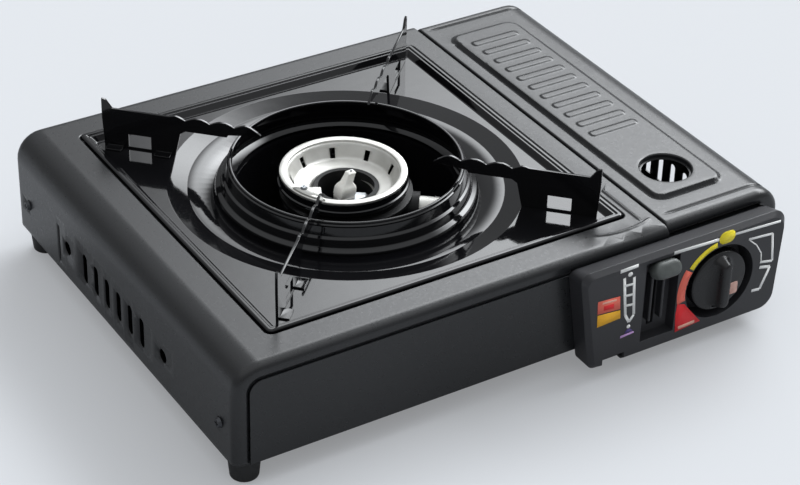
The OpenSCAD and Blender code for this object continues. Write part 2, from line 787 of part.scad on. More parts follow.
module electrode_insulator() {
    color("#efece4")
    translate([burner_x, burner_y, 0])
        difference() {
            rotate_extrude($fn = 36)
                polygon([[0, deck_z - 26], [2.4, deck_z - 26], [3, deck_z - 24], [3, deck_z - 12.8],
                    [4.8, deck_z - 12.8], [4.2, deck_z - 8], [2.6, deck_z - 4], [0, deck_z - 4]]);
            along_z(0.9, deck_z - 30, deck_z, 0, 0);
        }
}

// Needle that bends over towards the cone.
module electrode_pin() {
    color(steel)
    translate([burner_x, burner_y, 0]) {
        along_z(0.8, deck_z - 29, deck_z + 2, 0, 0);
        translate([0, 0, deck_z + 1.4]) rotate([0, 62, 150]) cylinder(r = 0.7, h = 9, $fn = 24);
    }
}

// Ignition wire, clipped along the floor from the piezo to the electrode.
wire_r = 1.3;
grommet_r = 3.5;
wire_low = bowl_low + 11;
wire_dir = -34;
wire_cross = [partition_x + sheet_t / 2, y0 + 32, base_z + 8];
wire_end = [burner_x, burner_y, deck_z - 29.2];
wire_start = [piezo_x + piezo_l - 2.7, piezo_y + piezo_r + 1, knob_z];
wire_under_y = y0 + 22;
function round_burner(r, z) = [burner_x + r * cos(wire_dir), burner_y + r * sin(wire_dir), z];
wire_route = [
    wire_start, wire_start + [0, 1.8, -0.3], wire_start + [0, 2.8, -6], [wire_start[0] - 2, wire_under_y - 5, base_z + 9],
    [wire_start[0] - 10, wire_under_y - 1, base_z + 6], [bay_x, wire_under_y + 1, base_z + 6],
    [seam_x + 16, wire_under_y + 3, base_z + 6.5], wire_cross + [5, 0, 0], wire_cross, wire_cross + [-5, 0, 0],
    [partition_x - 14, y0 + 37, base_z + 6.5], [partition_x - 28, y0 + 52, base_z + 6.5],
    round_burner(bowl_r + 16, base_z + 8), round_burner(bowl_r + 3, wire_low), round_burner(bowl_r - 10, wire_low),
    round_burner(34, wire_low + 1), round_burner(17, wire_low + 2), round_burner(6, wire_end[2] - 10),
    wire_end + [0, 0, -4.5], wire_end
];
function along(p, t) =
    let (n = len(p) - 1, i = min(floor(t), n - 1), u = t - i,
        a = p[max(i - 1, 0)], b = p[i], c = p[i + 1], d = p[min(i + 2, n)])
    0.5 * (2 * b + (c - a) * u + (2 * a - 5 * b + 4 * c - d) * u * u + (3 * b - a - 3 * c + d) * u * u * u);
module swept(path, r, sides) {
    n = len(path);
    function dir(i) = let (v = path[min(i + 1, n - 1)] - path[max(i - 1, 0)]) v / norm(v);
    function side_of(d) = let (s = cross(d, abs(d[2]) < 0.9 ? [0, 0, 1] : [1, 0, 0])) s / norm(s);
    function frames(i, s) = i == n ? [] :
        let (d = dir(i), f = s - d * (s * d), g = f / norm(f)) concat([[g, cross(d, g)]], frames(i + 1, g));
    fr = frames(0, side_of(dir(0)));
    points = [for (i = [0:n - 1], k = [0:sides - 1])
        path[i] + r * (cos(360 * k / sides) * fr[i][0] + sin(360 * k / sides) * fr[i][1])];
    walls = [for (i = [0:n - 2], k = [0:sides - 1])
        let (a = i * sides + k, b = i * sides + (k + 1) % sides) each [[a, a + sides, b], [b, a + sides, b + sides]]];
    ends = [[for (k = [0:sides - 1]) k], [for (k = [sides - 1:-1:0]) (n - 1) * sides + k]];
    polyhedron(concat(points, [path[0], path[n - 1]]), concat(walls,
        [for (k = [0:sides - 1]) [n * sides, k, (k + 1) % sides]],
        [for (k = [0:sides - 1]) [n * sides + 1, (n - 1) * sides + (k + 1) % sides, (n - 1) * sides + k]]));
}
module ignition_wire() {
    spans = len(wire_route) - 1;
    per_span = 4;
    color("#c9c2b4")
    swept([for (i = [0:spans * per_span]) along(wire_route, i / per_span)], wire_r, 8);
}

// Rubber ring round the wire in the partition.
module wire_grommet() {
    color(black)
    translate([partition_x, wire_cross[1], wire_cross[2]]) rotate([0, 90, 0])
        difference() {
            union() {
                cylinder(r = grommet_r - 0.1, h = sheet_t);
                for (z = [-1 - gap / 2, sheet_t + gap / 2]) translate([0, 0, z]) cylinder(r = grommet_r + 1.5, h = 1);
                translate([0, 0, -gap]) cylinder(r = grommet_r - 0.1, h = sheet_t + 2 * gap);
            }
            translate([0, 0, -5]) cylinder(r = wire_r + 0.25, h = 10);
        }
}

// ---- Valve and regulator ----

// Die-cast regulator: block, valve barrel towards the knob, inlet socket towards the cartridge.
module regulator_body() {
    color(steel)
    difference() {
        union() {
            plate(knob_x - 9, bay_x + 13, reg_y0, reg_y1, knob_z - 13, knob_z + 9);
            plate(knob_x - 9, knob_x + 3, reg_y0 + 2, reg_y1 - 3, knob_z + 9 - eps, tube_z + 6);
            along_y(9, y0 + 9.6, reg_y0 + eps, knob_x, knob_z);
            along_y(inlet_r + 4, reg_y1 - eps, bracket_y + 3, bay_x, cartridge_z);
            port_boss();
        }
        along_y(inlet_r, reg_y1 - 3, bracket_y + 4, bay_x, cartridge_z);
        along_y(spindle_r + run, y0, reg_y1 - 6, knob_x, knob_z);
        translate([burner_x, burner_y, tube_z]) rotate([0, 90, tube_dir])
            translate([0, 0, tube_to + 4]) cylinder(r = 3.06, h = 12);
        for (p = cover_screw_spots) along_x(1.2, bay_x + 8, bay_x + 14, p[0], p[1]);
    }
}

// Boss that turns from the block towards the mixing tube.
module port_boss() {
    intersection() {
        translate([burner_x, burner_y, tube_z]) rotate([0, 90, tube_dir])
            translate([0, 0, tube_to + 4.2]) cylinder(r = 6, h = 26);
        plate(partition_x, knob_x - 9 + eps, y0 + 12, reg_y1 + 2, base_z + 2, deck_z - 4);
    }
}

reg_mid_y = (reg_y0 + reg_y1) / 2;
cover_screw_spots = [for (a = [90, 210, 330]) [reg_mid_y + 8.6 * cos(a), knob_z + 8.6 * sin(a)]];
module regulator_cover() {
    xa = bay_x + 13 + gap;
    color(steel)
    difference() {
        union() {
            along_x(10.4, xa, xa + 3, reg_mid_y, knob_z - 0.5);
            along_x(6, xa + 3 - eps, xa + 5.5, reg_mid_y, knob_z - 0.5);
        }
        for (p = cover_screw_spots) along_x(1.5, xa - 1, xa + 9, p[0], p[1]);
    }
}

module regulator_screws() {
    color(steel)
    for (p = cover_screw_spots)
        translate([bay_x + 16.2 + 2 * gap, p[0], p[1]]) rotate([0, 90, 0]) screw(2.2, 5);
}

// Upright plate that holds the regulator and closes the bay's front.
module regulator_bracket() {
    t = 1;
    xa = partition_x + sheet_t + 2;
    xb = x1 - 11;
    color(steel)
    difference() {
        union() {
            plate(xa, xb, bracket_y, bracket_y + t, base_z + sheet_t + gap, deck_z - border_w - 1);
            plate(xa, xb, bracket_y - 14, bracket_y + eps, base_z + sheet_t + gap, base_z + sheet_t + gap + t);
        }
        along_y(inlet_r + 4 + run, bracket_y - 1, bracket_y + 3, bay_x, cartridge_z);
        for (s = [-1, 1])
            plate(bay_x + s * yoke_half - 1.2, bay_x + s * yoke_half + 1.2, bracket_y - 1, bracket_y + 3,
                cartridge_z - 9.5, cartridge_z + 9.5);
        translate([burner_x, burner_y, tube_z]) rotate([0, 90, tube_dir])
            translate([0, 0, tube_to - 40]) cylinder(r = tube_r + 4, h = 50);
    }
}

// Small tongue that fits the notch in a cartridge's collar.
module cartridge_guide() {
    color(steel) {
        plate(bay_x - 3, bay_x + 3, bracket_y + 1 + gap, bracket_y + 2, cartridge_z + 12, cartridge_z + 22);
        plate(bay_x - 3, bay_x + 3, bracket_y + 1 + gap, bracket_y + 6, cartridge_z + 17, cartridge_z + 18);
    }
}

// ---- Knob, cam and igniter ----

spindle_end = reg_y1 - 8;
knob_back = y0 - panel_t + 4;
// Brass spindle: round in the valve, carries the cam and the knob.
module valve_spindle() {
    color("#c8a24a") {
        along_y(spindle_r, y0 - panel_t + 6, spindle_end, knob_x, knob_z);
    }
}

// Spiral cam: its edge climbs evenly against the plunger as the knob turns.
module igniter_cam() {
    steps = 27;
    color("#e8e4da")
    translate([knob_x, cam_y + 2, knob_z]) rotate([90, 0, 0])
        linear_extrude(4)
            difference() {
                polygon(concat(
                    [for (i = [0:steps]) let (a = -knob_turn * i / steps, r = cam_r + plunger_travel * i / steps)
                        r * [cos(a), sin(a)]],
                    [for (i = [0:12]) let (a = -knob_turn - 4 - (360 - knob_turn - 8) * i / 12)
                        cam_r * [cos(a), sin(a)]]));
                circle(r = spindle_r + 0.02, $fn = 36);
            }
}

// Knob: disc with a skirt and a blade to grip.
module gas_knob() {
    face_y = y0 - panel_t + 1;
    color(black)
    difference() {
        union() {
            along_y(knob_r, face_y, knob_back + 2, knob_x, knob_z);
            along_y(knob_r - 1.2, face_y - 0.8, face_y + eps, knob_x, knob_z);
            knob_blade(face_y);
            along_y(7.5, knob_back + 2 - eps, y0 - 2.5, knob_x, knob_z);
        }
        along_y(spindle_r + 0.02, y0 - panel_t + 5.8, y0, knob_x, knob_z);
        translate([knob_x + pointer_dx, face_y - 0.4, knob_z - pointer_drop])
            cube([pointer_w + 2 * gap, 3.2, pointer_h + 2 * gap], center = true);
    }
}

module knob_blade(face_y) {
    len_half = knob_r - 2.4;
    translate([knob_x, face_y + 1, knob_z]) rotate([90, 0, 0])
        hull() {
            linear_extrude(1)
                hull() for (s = [-1, 1]) translate([0, s * (len_half - 4.4)]) circle(r = 4.4, $fn = 32);
            translate([0, 0, knob_proud + 2 - eps])
                linear_extrude(eps)
                    hull() for (s = [-1, 1]) translate([0, s * (len_half - 4.8)]) circle(r = 3, $fn = 32);
        }
}

// Pale insert in a pocket of the disc, low on its right side.
pointer_w = 6;
pointer_h = 7.6;
pointer_dx = 10.2;
pointer_drop = 7.8;
module knob_pointer() {
    color("#d9a79a")
    translate([knob_x + pointer_dx, y0 - panel_t + 0.85, knob_z - pointer_drop]) cube([pointer_w, 2.3, pointer_h], center = true);
}

// Push igniter lying beside the cam, its plunger against the cam's edge.
module piezo_igniter() {
    color("#e9e6dc")
    difference() {
        union() {
            along_x(piezo_r, piezo_x, piezo_x + piezo_l, piezo_y, knob_z);
            along_y(2.2, piezo_y, piezo_y + piezo_r + 0.8, piezo_x + piezo_l - 2.7, knob_z);
        }
        along_x(2.6 + run, piezo_x - 1, piezo_x + plunger_travel + 3, piezo_y, knob_z);
    }
}

// Strap that holds the igniter behind the front panel.
module piezo_clip() {
    xa = piezo_x + 5;
    color(steel)
    difference() {
        union() {
            plate(xa, xa + 6, y0 + gap, y0 + gap + 1, knob_z - 11, knob_z + 11);
            along_x(piezo_r + 1.2, xa, xa + 6, piezo_y, knob_z);
        }
        along_x(piezo_r + gap / 2, xa - 1, xa + 7, piezo_y, knob_z);
        plate(xa - 1, xa + 9, y0 - 3, y0 + gap, knob_z - 20, knob_z + 20);
    }
}

module igniter_plunger() {
    tip = 1.5;
    x = knob_x + cam_r + 0.3;
    color("#d8382c")
    translate([0, piezo_y, knob_z]) {
        translate([x + tip, 0, 0]) sphere(r = tip, $fn = 24);
        along_x(tip, x + tip, x + 3, 0, 0);
        along_x(2.6, x + 3, piezo_x + 1.5, 0, 0);
    }
}

// ---- Lock lever and latch ----

// Plastic lever: arm through the panel's slot, wedge-shaped head in front. Drawn at its raised rest.
module lock_lever() {
    head_w = 17;
    head_h = 12;
    arm_w = 3;
    color(black)
    translate([lever_x, lever_y, lever_z])
        rotate([-lever_swing, 0, 0])
            difference() {
                union() {
                    along_x(6, -arm_w / 2, arm_w / 2, 0, 0);
                    plate(-arm_w / 2, arm_w / 2, -lever_l + 4, 0, -3.5, 3.5);
                    translate([-head_w / 2 + 2, -lever_l, 0]) rotate([90, 0, 90])
                        linear_extrude(head_w)
                            polygon([[5.5, -head_h / 2], [5.5, head_h / 2], [1, head_h / 2], [-4, 1], [-4, -2], [0, -head_h / 2]]);
                }
                along_x(shaft_r + 0.02, -10, 10, 0, 0);
            }
}

// Shaft behind the panel with the crank that moves the yoke.
crank_x = bay_x - yoke_half;
module lever_shaft() {
    color(steel) {
        along_x(shaft_r, lever_x - 8, crank_x - 1.2, lever_y, lever_z);
        translate([0, lever_y, lever_z]) rotate([-lever_swing, 0, 0]) {
            plate(crank_x - 3.2, crank_x - 1.2, -3.2, 3.2, -3.2, crank_r + 2.6);
            along_x(1.6, crank_x - 2, crank_x + 2, 0, crank_r);
        }
    }
}

// Two bent tabs on the base plate that carry the shaft.
module shaft_bearings() {
    t = 1.2;
    za = base_z + sheet_t + gap;
    color(steel)
    for (x = [lever_x - 6, lever_x + 9])
        difference() {
            union() {
                plate(x, x + t, lever_y - 5, lever_y + 5, za, lever_z + 5);
                plate(x, x + 9, lever_y - 5, lever_y + 5, za, za + t);
            }
            along_x(shaft_r + run, x - 1, x + 3, lever_y, lever_z);
        }
}

// Fork that slides forward and draws the cartridge's collar into the inlet.
pin_z = lever_z + crank_r * (1 + cos(lever_swing)) / 2;
pin_y = lever_y + crank_r * sin(lever_swing);
module latch_yoke() {
    za = cartridge_z - 8;
    zb = cartridge_z + 8;
    ya = reg_y1 - 8;
    yb = y0 + 54;
    color(steel)
    difference() {
        union() {
            for (s = [-1, 1]) {
                xs = bay_x + s * yoke_half;
                plate(xs - yoke_t / 2, xs + yoke_t / 2, ya, yb, za, zb);
                plate(min(xs, xs - s * 4), max(xs, xs - s * 4), yb - yoke_t, yb, za + 2, zb - 2);
            }
            plate(crank_x - yoke_t / 2, crank_x + yoke_t / 2, pin_y - 4, pin_y + 3.4, za, pin_z + 4.4);
            plate(crank_x - yoke_t / 2, crank_x + yoke_t / 2, pin_y, ya + eps, za, zb);
            for (s = [-1, 1])
                plate(bay_x + s * yoke_half - yoke_t / 2, bay_x + s * yoke_half + yoke_t / 2,
                    yoke_bar_y - 1, yoke_bar_y + 3, base_z + 4, za + eps);
            plate(crank_x, bay_x + yoke_half, yoke_bar_y, yoke_bar_y + yoke_t, base_z + 4, knob_z - 13.5);
        }
        plate(crank_x - 3, crank_x + 3, pin_y - 1.9, pin_y + 1.9, pin_z - 2.3, pin_z + 2.3);
    }
}
yoke_bar_y = reg_y1 + 1.6;

// Return spring: pushes the lever's arm up from a post on the base.
spring_turns = 10;
spring_r = 2.2;
spring_wire_r = 0.35;
spring_y = lever_y - 9.5;
spring_low = base_z + 9;
spring_top = lever_z - 0.8;
spring_path = [for (i = [0:spring_turns * 8]) let (a = 45 * i)
    [lever_x + spring_r * cos(a), spring_y + spring_r * sin(a),
        spring_low + (spring_top - spring_low) * i / (spring_turns * 8)]];
spring_gap = min([for (i = [0:len(spring_path) - 9]) norm(spring_path[i + 8] - spring_path[i])]) - 2 * spring_wire_r;
echo("least gap between the spring's turns, mm", spring_gap);
module lever_spring() {
    color(steel)
    swept(spring_path, spring_wire_r, 6);
}

module spring_post() {
    z = base_z + sheet_t + gap;
    color(steel) {
        plate(lever_x - 3, lever_x + 3, spring_y - 3, spring_y + 3, z, z + 1);
        along_z(spring_r - spring_wire_r - 0.35, z, base_z + 13, lever_x, spring_y);
        along_z(spring_r + 0.6, z, spring_low - spring_wire_r - 0.2, lever_x, spring_y);
    }
}

// ---- Control panel ----

panel_x0 = lever_x - 51;
panel_x1 = x1 - 9;
panel_z0 = base_z - 7;
panel_z1 = deck_z - 2;
panel_back = y0 - 1;
bowl_panel_r = knob_r + knob_gap;

// Outline of the panel seen from the front; e draws it inward.
module panel_outline(e) {
    r = 5;
    hull() {
        translate([panel_x0 + e + r, panel_z1 - e - r]) circle(r = r, $fn = 32);
        translate([panel_x1 - e - 9, panel_z1 - e - 9]) circle(r = 9, $fn = 32);
        translate([panel_x1 - e - 11, panel_z0 + e + 9]) circle(r = 9, $fn = 32);
        translate([panel_x0 + 8 + e + r, panel_z0 + e + r]) circle(r = r, $fn = 32);
    }
}

// Black moulded housing: a shallow box open to the back, a bowl for the knob, a recess for the lever.
module control_panel() {
    wall = 2;
    color(black)
    difference() {
        union() {
            difference() {
                hull() {
                    translate([0, panel_back, 0]) rotate([90, 0, 0]) linear_extrude(panel_t - 4) panel_outline(0);
                    translate([0, y0 - panel_t + 0.02, 0]) rotate([90, 0, 0]) linear_extrude(0.02) panel_outline(2.4);
                }
                translate([0, panel_back + 1, 0]) rotate([90, 0, 0]) linear_extrude(panel_t - wall) panel_outline(wall);
            }
            along_y(bowl_panel_r + wall, y0 - panel_t + 1, y0 - 1.6, knob_x, knob_z);
            plate(lever_x - 13, lever_x + 13, y0 - panel_t + 1, y0 - panel_t + 9, lever_z - 27, panel_z1 - 2.6);
            panel_screw_places() along_boss();
        }
        along_y(bowl_panel_r, y0 - panel_t - 1, y0 - 3.4, knob_x, knob_z);
        along_y(8, y0 - panel_t - 1, y0, knob_x, knob_z);
        plate(lever_x - 11, lever_x + 11, y0 - panel_t - 1, y0 - panel_t + 7, lever_z - 25, panel_z1 - 4.6);
        plate(lever_x - 2.2, lever_x + 2.2, y0 - panel_t, y0, lever_z - 21, lever_z + 21);
        plate(panel_x0 + 16, panel_x0 + 30, y0 - panel_t - 1, y0 - panel_t + 6, panel_z0 - 1, panel_z0 + 6);
    }
}

// Where the panel's screws go, drawn from the case's side.
module panel_screw_places() {
    for (p = [[panel_x0 + 22, panel_z1 - 12], [panel_x0 + 30, panel_z0 + 20], [panel_x1 - 12, panel_z1 - 16]])
        translate([p[0], 0, p[1]]) children();
}
module along_hole(r) { along_y(r, y0 - 3, y0 + 3, 0, 0); }
module along_boss() {
    difference() {
        along_y(3.2, y0 - panel_t + 1, y0 - 1, 0, 0);
        along_y(1.1, y0 - panel_t + 5, y0, 0, 0);
    }
}

module panel_screws() {
    color(steel)
    panel_screw_places()
        translate([0, y0 + gap, 0]) rotate([-90, 0, 0]) screw(2.2, 7);
}

// ---- Cartridge bay ----

heat_w = 60;
heat_t = 1;
heat_z = base_z + 6;
// Aluminium strip that carries heat from the bowl to the cartridge.
module heat_plate() {
    flap_x = bay_x - trough_half + gap;
    xa = burner_x + bowl_r + 1;
    color(alloy) {
        plate(xa, flap_x + heat_t, burner_y - heat_w / 2, burner_y + heat_w / 2, heat_z, heat_z + heat_t);
        plate(flap_x, flap_x + heat_t, burner_y - heat_w / 2, burner_y + heat_w / 2, trough_z + sheet_t + 1, heat_z + eps);
        plate(xa, xa + heat_t, burner_y - heat_w / 2, burner_y + heat_w / 2, heat_z - 3, heat_z + 12);
    }
}

// Folded strips that keep the cartridge from rolling.
module bay_guides() {
    color(steel)
    for (y = [y0 + valve_zone + 14, y1 - 60]) {
        x = bay_x - trough_half - sheet_t;
        plate(x - 1, x, y, y + 30, base_z + sheet_t + gap, base_z + 14);
        plate(x - 2.6, x, y, y + 30, base_z + sheet_t + gap, base_z + 2 * sheet_t + gap);
    }
}

// ---- Feet ----

module foot_places() {
    for (x = [x0 + foot_inset, x1 - foot_inset], y = [y0 + foot_inset, y1 - foot_inset])
        translate([x, y, base_z]) children();
}

module foot(x, y) {
    color(black)
    translate([x, y, 0])
        difference() {
            rotate_extrude($fn = 48)
                polygon([[0, 0], [foot_r - 2, 0], [foot_r - 1, 0.6], [foot_r, base_z - 4], [foot_r, base_z - gap], [0, base_z - gap]]);
            translate([0, 0, -1]) cylinder(r = 4.5, h = 5, $fn = 32);
            cylinder(d = 4.4, h = base_z + 1, $fn = 24);
        }
}
module foot_front_left() { foot(x0 + foot_inset, y0 + foot_inset); }
module foot_front_right() { foot(x1 - foot_inset, y0 + foot_inset); }
module foot_back_left() { foot(x0 + foot_inset, y1 - foot_inset); }
module foot_back_right() { foot(x1 - foot_inset, y1 - foot_inset); }

module foot_screws() {
    color(steel)
    foot_places() {
        translate([0, 0, 3.6 - base_z]) rotate([180, 0, 0]) screw(4, base_z - 1);
    }
}

body_shell();
front_panel();
rear_panel();
right_wall();
base_plate();
partition();
cartridge_lid();
lid_hinge_pins();
case_screws();
drip_pan();
wind_collar();
pan_support_left();
pan_support_right();
pan_support_back();
pan_support_front();
burner_bowl();
burner_bracket();
bracket_screws();
burner_base();
burner_head();
burner_tab();
burner_screws();
mixing_tube();
injector();
electrode_holder();
electrode_insulator();
electrode_pin();
ignition_wire();
wire_grommet();
regulator_body();
regulator_cover();
regulator_screws();
regulator_bracket();
cartridge_guide();
valve_spindle();
igniter_cam();
gas_knob();
knob_pointer();
piezo_igniter();
piezo_clip();
igniter_plunger();
lock_lever();
lever_shaft();
shaft_bearings();
latch_yoke();
lever_spring();
spring_post();
control_panel();
panel_screws();
heat_plate();
bay_guides();
foot_front_left();
foot_front_right();
foot_back_left();
foot_back_right();
foot_screws();
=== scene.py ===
# A tabletop butane stove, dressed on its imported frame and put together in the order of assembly.
# Sizes are in millimetres until a mesh is made.
import bmesh
import bpy
import numpy as np
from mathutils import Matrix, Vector, geometry


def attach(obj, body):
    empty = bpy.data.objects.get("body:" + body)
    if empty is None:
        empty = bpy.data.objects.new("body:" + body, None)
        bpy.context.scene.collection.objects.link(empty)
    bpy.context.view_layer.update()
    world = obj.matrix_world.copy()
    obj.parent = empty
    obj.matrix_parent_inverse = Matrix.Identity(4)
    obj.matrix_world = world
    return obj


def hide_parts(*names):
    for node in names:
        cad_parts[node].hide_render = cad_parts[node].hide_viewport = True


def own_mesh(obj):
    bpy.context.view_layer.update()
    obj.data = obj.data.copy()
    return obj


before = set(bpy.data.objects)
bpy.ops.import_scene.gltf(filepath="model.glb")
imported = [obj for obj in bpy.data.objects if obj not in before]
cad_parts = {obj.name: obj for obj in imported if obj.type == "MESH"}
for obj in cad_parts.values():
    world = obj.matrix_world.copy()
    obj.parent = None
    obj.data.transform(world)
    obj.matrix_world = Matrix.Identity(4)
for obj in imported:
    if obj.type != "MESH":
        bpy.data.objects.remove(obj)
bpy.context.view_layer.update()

# ---- Case shell ----
# Deck and left wall, one sheet of 0.8 mm steel. Pressed, folded over at both ends,
# powder coated charcoal. The side vents are punched; the pan's seat is drawn down into the deck.


def linear(code):
    """An sRGB hex colour turned to linear red, green, blue and full alpha."""
    value = np.array([int(code[i:i + 2], 16) for i in (1, 3, 5)]) / 255
    return (*np.where(value <= 0.04045, value / 12.92, ((value + 0.055) / 1.055) ** 2.4), 1.0)


def new_finish(name):
    """A bare material for one finish; returns it, its node tree and the Object coordinates of its texture."""
    made = bpy.data.materials.new(name)
    made.use_nodes = True
    made.node_tree.nodes.clear()
    return made, made.node_tree, made.node_tree.nodes.new("ShaderNodeTexCoord").outputs["Object"]


def add(tree, kind, sockets=None, stops=(), **settings):
    """Adds a node. Each named socket is linked to an output, or to a node's first output, or set to a value.
    Stops are the two places and colours of a ramp; the other settings are the node's own."""
    node = tree.nodes.new(kind)
    for key, value in settings.items():
        setattr(node, key, value)
    for key, value in (sockets or {}).items():
        value = value.outputs[0] if isinstance(value, bpy.types.Node) else value
        if isinstance(value, bpy.types.NodeSocket):
            tree.links.new(value, node.inputs[key])
        else:
            node.inputs[key].default_value = value
    for i, (spot, code) in enumerate(stops):
        node.color_ramp.elements[i].position, node.color_ramp.elements[i].color = spot, linear(code)
    return node


def folded(route, radii, turn_steps=9, hold=1.2):
    """Follows straight runs whose corners become arcs of the given radii.
    Gives the distance along the route, the points, and the direction to the right of travel.
    Each arc has a holding point at both sides, so that the flat beside it stays flat in the light."""
    route = np.array(route, float)
    points, rights = [route[:1]], []
    step = np.diff(route, axis=0)
    way = step / np.linalg.norm(step, axis=1)[:, None]
    right = np.stack([way[:, 1], -way[:, 0]], 1)
    rights.append(right[:1])
    for i, r in enumerate(radii):
        before, after = way[i], way[i + 1]
        turn = np.arctan2(before[0] * after[1] - before[1] * after[0], before @ after)
        back = abs(r * np.tan(turn / 2))
        start = route[i + 1] - before * back
        side = np.sign(turn)
        centre = start - right[i] * r * side
        angle = np.linspace(0, turn, turn_steps)[:, None]
        spun = np.cos(angle) * right[i] + np.sin(angle) * np.array([-right[i][1], right[i][0]])
        arc = centre + spun * r * side
        points += [arc[:1] - before * hold, arc, arc[-1:] + after * hold]
        rights += [spun[:1], spun, spun[-1:]]
    points = np.concatenate(points + [route[-1:]])
    rights = np.concatenate(rights + [right[-1:]])
    length = np.concatenate([[0], np.cumsum(np.linalg.norm(np.diff(points, axis=0), axis=1))])
    return length, points, rights


def ring(a, b, c, n=8, centre=(0, 0)):
    """A rounded rectangle run anticlockwise: half sides a and b, corner radius c, n steps to a corner.
    Each corner is a quarter circle about the point set in by c from both sides."""
    angle = np.linspace(0, np.pi / 2, n + 1)[None, :] + np.arange(4)[:, None] * np.pi / 2
    sign_u = np.array([1, -1, -1, 1])[:, None]
    sign_v = np.array([1, 1, -1, -1])[:, None]
    u = sign_u * (a - c) + c * np.cos(angle)
    v = sign_v * (b - c) + c * np.sin(angle)
    return np.stack([u.ravel() + centre[0], v.ravel() + centre[1]], 1)


def box(s_from, s_to, w_from, w_to):
    """The outline of a rectangle between two places along a sheet's section and two across it."""
    return [(s_from, w_from), (s_to, w_from), (s_to, w_to), (s_from, w_to)]


def dense(outline, count):
    """A closed outline again, as `count` points evenly spaced along it by distance."""
    loop = np.concatenate([outline, outline[:1]])
    length = np.concatenate([[0], np.cumsum(np.linalg.norm(np.diff(loop, axis=0), axis=1))])
    even = np.linspace(0, length[-1], count, endpoint=False)
    return np.stack([np.interp(even, length, loop[:, i]) for i in (0, 1)], 1)


def inside(points, outline):
    """Which points lie in a closed outline: an odd number of its edges cross the ray to their right."""
    x, y = points[:, 0][:, None], points[:, 1][:, None]
    ax, ay = outline[:, 0][None], outline[:, 1][None]
    bx, by = np.roll(outline[:, 0], -1)[None], np.roll(outline[:, 1], -1)[None]
    crosses = (ay > y) != (by > y)
    reach = ax + (y - ay) / np.where(by == ay, 1, by - ay) * (bx - ax)
    return (np.sum(crosses & (x < reach), axis=1) % 2).astype(bool)


def cut_sheet(across, along, holes=(), extra=(), cleared=(), dropped=()):
    """A flat sheet as triangles: every crossing of the across and along lines outside the holes and outside
    the cleared bands (an outer and an inner outline), the holes' outlines and the extra points, joined by a
    Delaunay triangulation that keeps the outlines as edges. Triangles in a hole or a dropped outline go."""
    u, v = np.meshgrid(across, along, indexing="ij")
    points = np.stack([u.ravel(), v.ravel()], 1)
    for outline in holes:
        points = points[~inside(points, outline)]
    for outer, inner in cleared:
        points = points[~inside(points, outer) | (inside(points, inner) if inner is not None else False)]
    loops, edges, count = [points] + list(extra), [], len(points) + sum(len(e) for e in extra)
    for outline in holes:
        index = np.arange(len(outline)) + count
        edges += np.stack([index, np.roll(index, -1)], 1).tolist()
        loops.append(outline)
        count += len(outline)
    every = np.concatenate(loops)
    made = geometry.delaunay_2d_cdt([Vector(p) for p in every.tolist()], edges, [], 0, 1e-4, False)
    spots = np.array([tuple(p) for p in made[0]])
    faces = np.array(made[2])
    middle = spots[faces].mean(axis=1)
    keep = np.ones(len(faces), bool)
    for outline in list(holes) + list(dropped):
        keep &= ~inside(middle, np.asarray(outline, float))
    return spots, faces[keep]


def stack(rows, n=8, cap_first=False, cap_last=False, at=(0, 0)):
    """Rings laid one after another about the point `at`: each row gives half sides a and b, corner radius c
    and level, or the radius and level of a circle. Neighbouring rings are joined by quads; an end can be
    closed by one flat face."""
    rows = [(row[0], row[0], row[0], row[1]) if len(row) == 2 else row for row in rows]
    rings = np.stack([ring(a, b, c, n) for a, b, c, _ in rows])
    levels = np.broadcast_to(np.array([[row[3]] for row in rows], float), rings.shape[:2])
    points = np.concatenate([rings, levels[:, :, None]], 2).reshape(-1, 3)
    points[:, :2] += at
    m = rings.shape[1]
    i, k = np.meshgrid(np.arange(len(rows) - 1), np.arange(m), indexing="ij")
    here, beside = i * m + k, i * m + (k + 1) % m
    faces = np.stack([here, beside, beside + m, here + m], 2).reshape(-1, 4).tolist()
    if cap_first:
        faces.append(list(range(m))[::-1])
    if cap_last:
        faces.append(list(range((len(rows) - 1) * m, len(rows) * m)))
    return points, faces


def joined(*parts):
    """Several (points, faces) as one, the later ones' faces counted on from the points before them."""
    points, faces, count = [], [], 0
    for spots, found in parts:
        faces += [[int(index) + count for index in face] for face in found]
        points.append(spots)
        count += len(spots)
    return np.concatenate(points), faces


def piece(name, shape, finish, body, stands_for=(), wall=0, rounding=0, sharp=38):
    """Makes one piece from points in millimetres and faces. Its doubles are merged, edges steeper than `sharp`
    stay crisp, a sheet gets its wall away from the side that shows, and crisp edges are eased by `rounding`."""
    points, faces = shape
    mesh = bpy.data.meshes.new(name)
    mesh.from_pydata((np.asarray(points) / 1000).tolist(), [], [list(f) for f in faces])
    work = bmesh.new()
    work.from_mesh(mesh)
    bmesh.ops.remove_doubles(work, verts=work.verts, dist=4e-6)
    bmesh.ops.dissolve_degenerate(work, edges=work.edges, dist=1e-6)
    work.to_mesh(mesh)
    work.free()
    mesh.shade_smooth()
    mesh.set_sharp_from_angle(angle=np.radians(sharp))
    mesh.materials.append(finish)
    made = bpy.data.objects.new(name, mesh)
    bpy.context.scene.collection.objects.link(made)
    if wall:
        solid = made.modifiers.new("wall", "SOLIDIFY")
        solid.thickness, solid.offset, solid.use_even_offset = wall / 1000, -1, True
    if rounding:
        ease = made.modifiers.new("eased edges", "BEVEL")
        ease.width, ease.segments, ease.limit_method = rounding / 1000, 2, "ANGLE"
        ease.angle_limit, ease.harden_normals = np.radians(sharp), False
    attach(made, body)
    if stands_for:
        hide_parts(*stands_for)
    return made


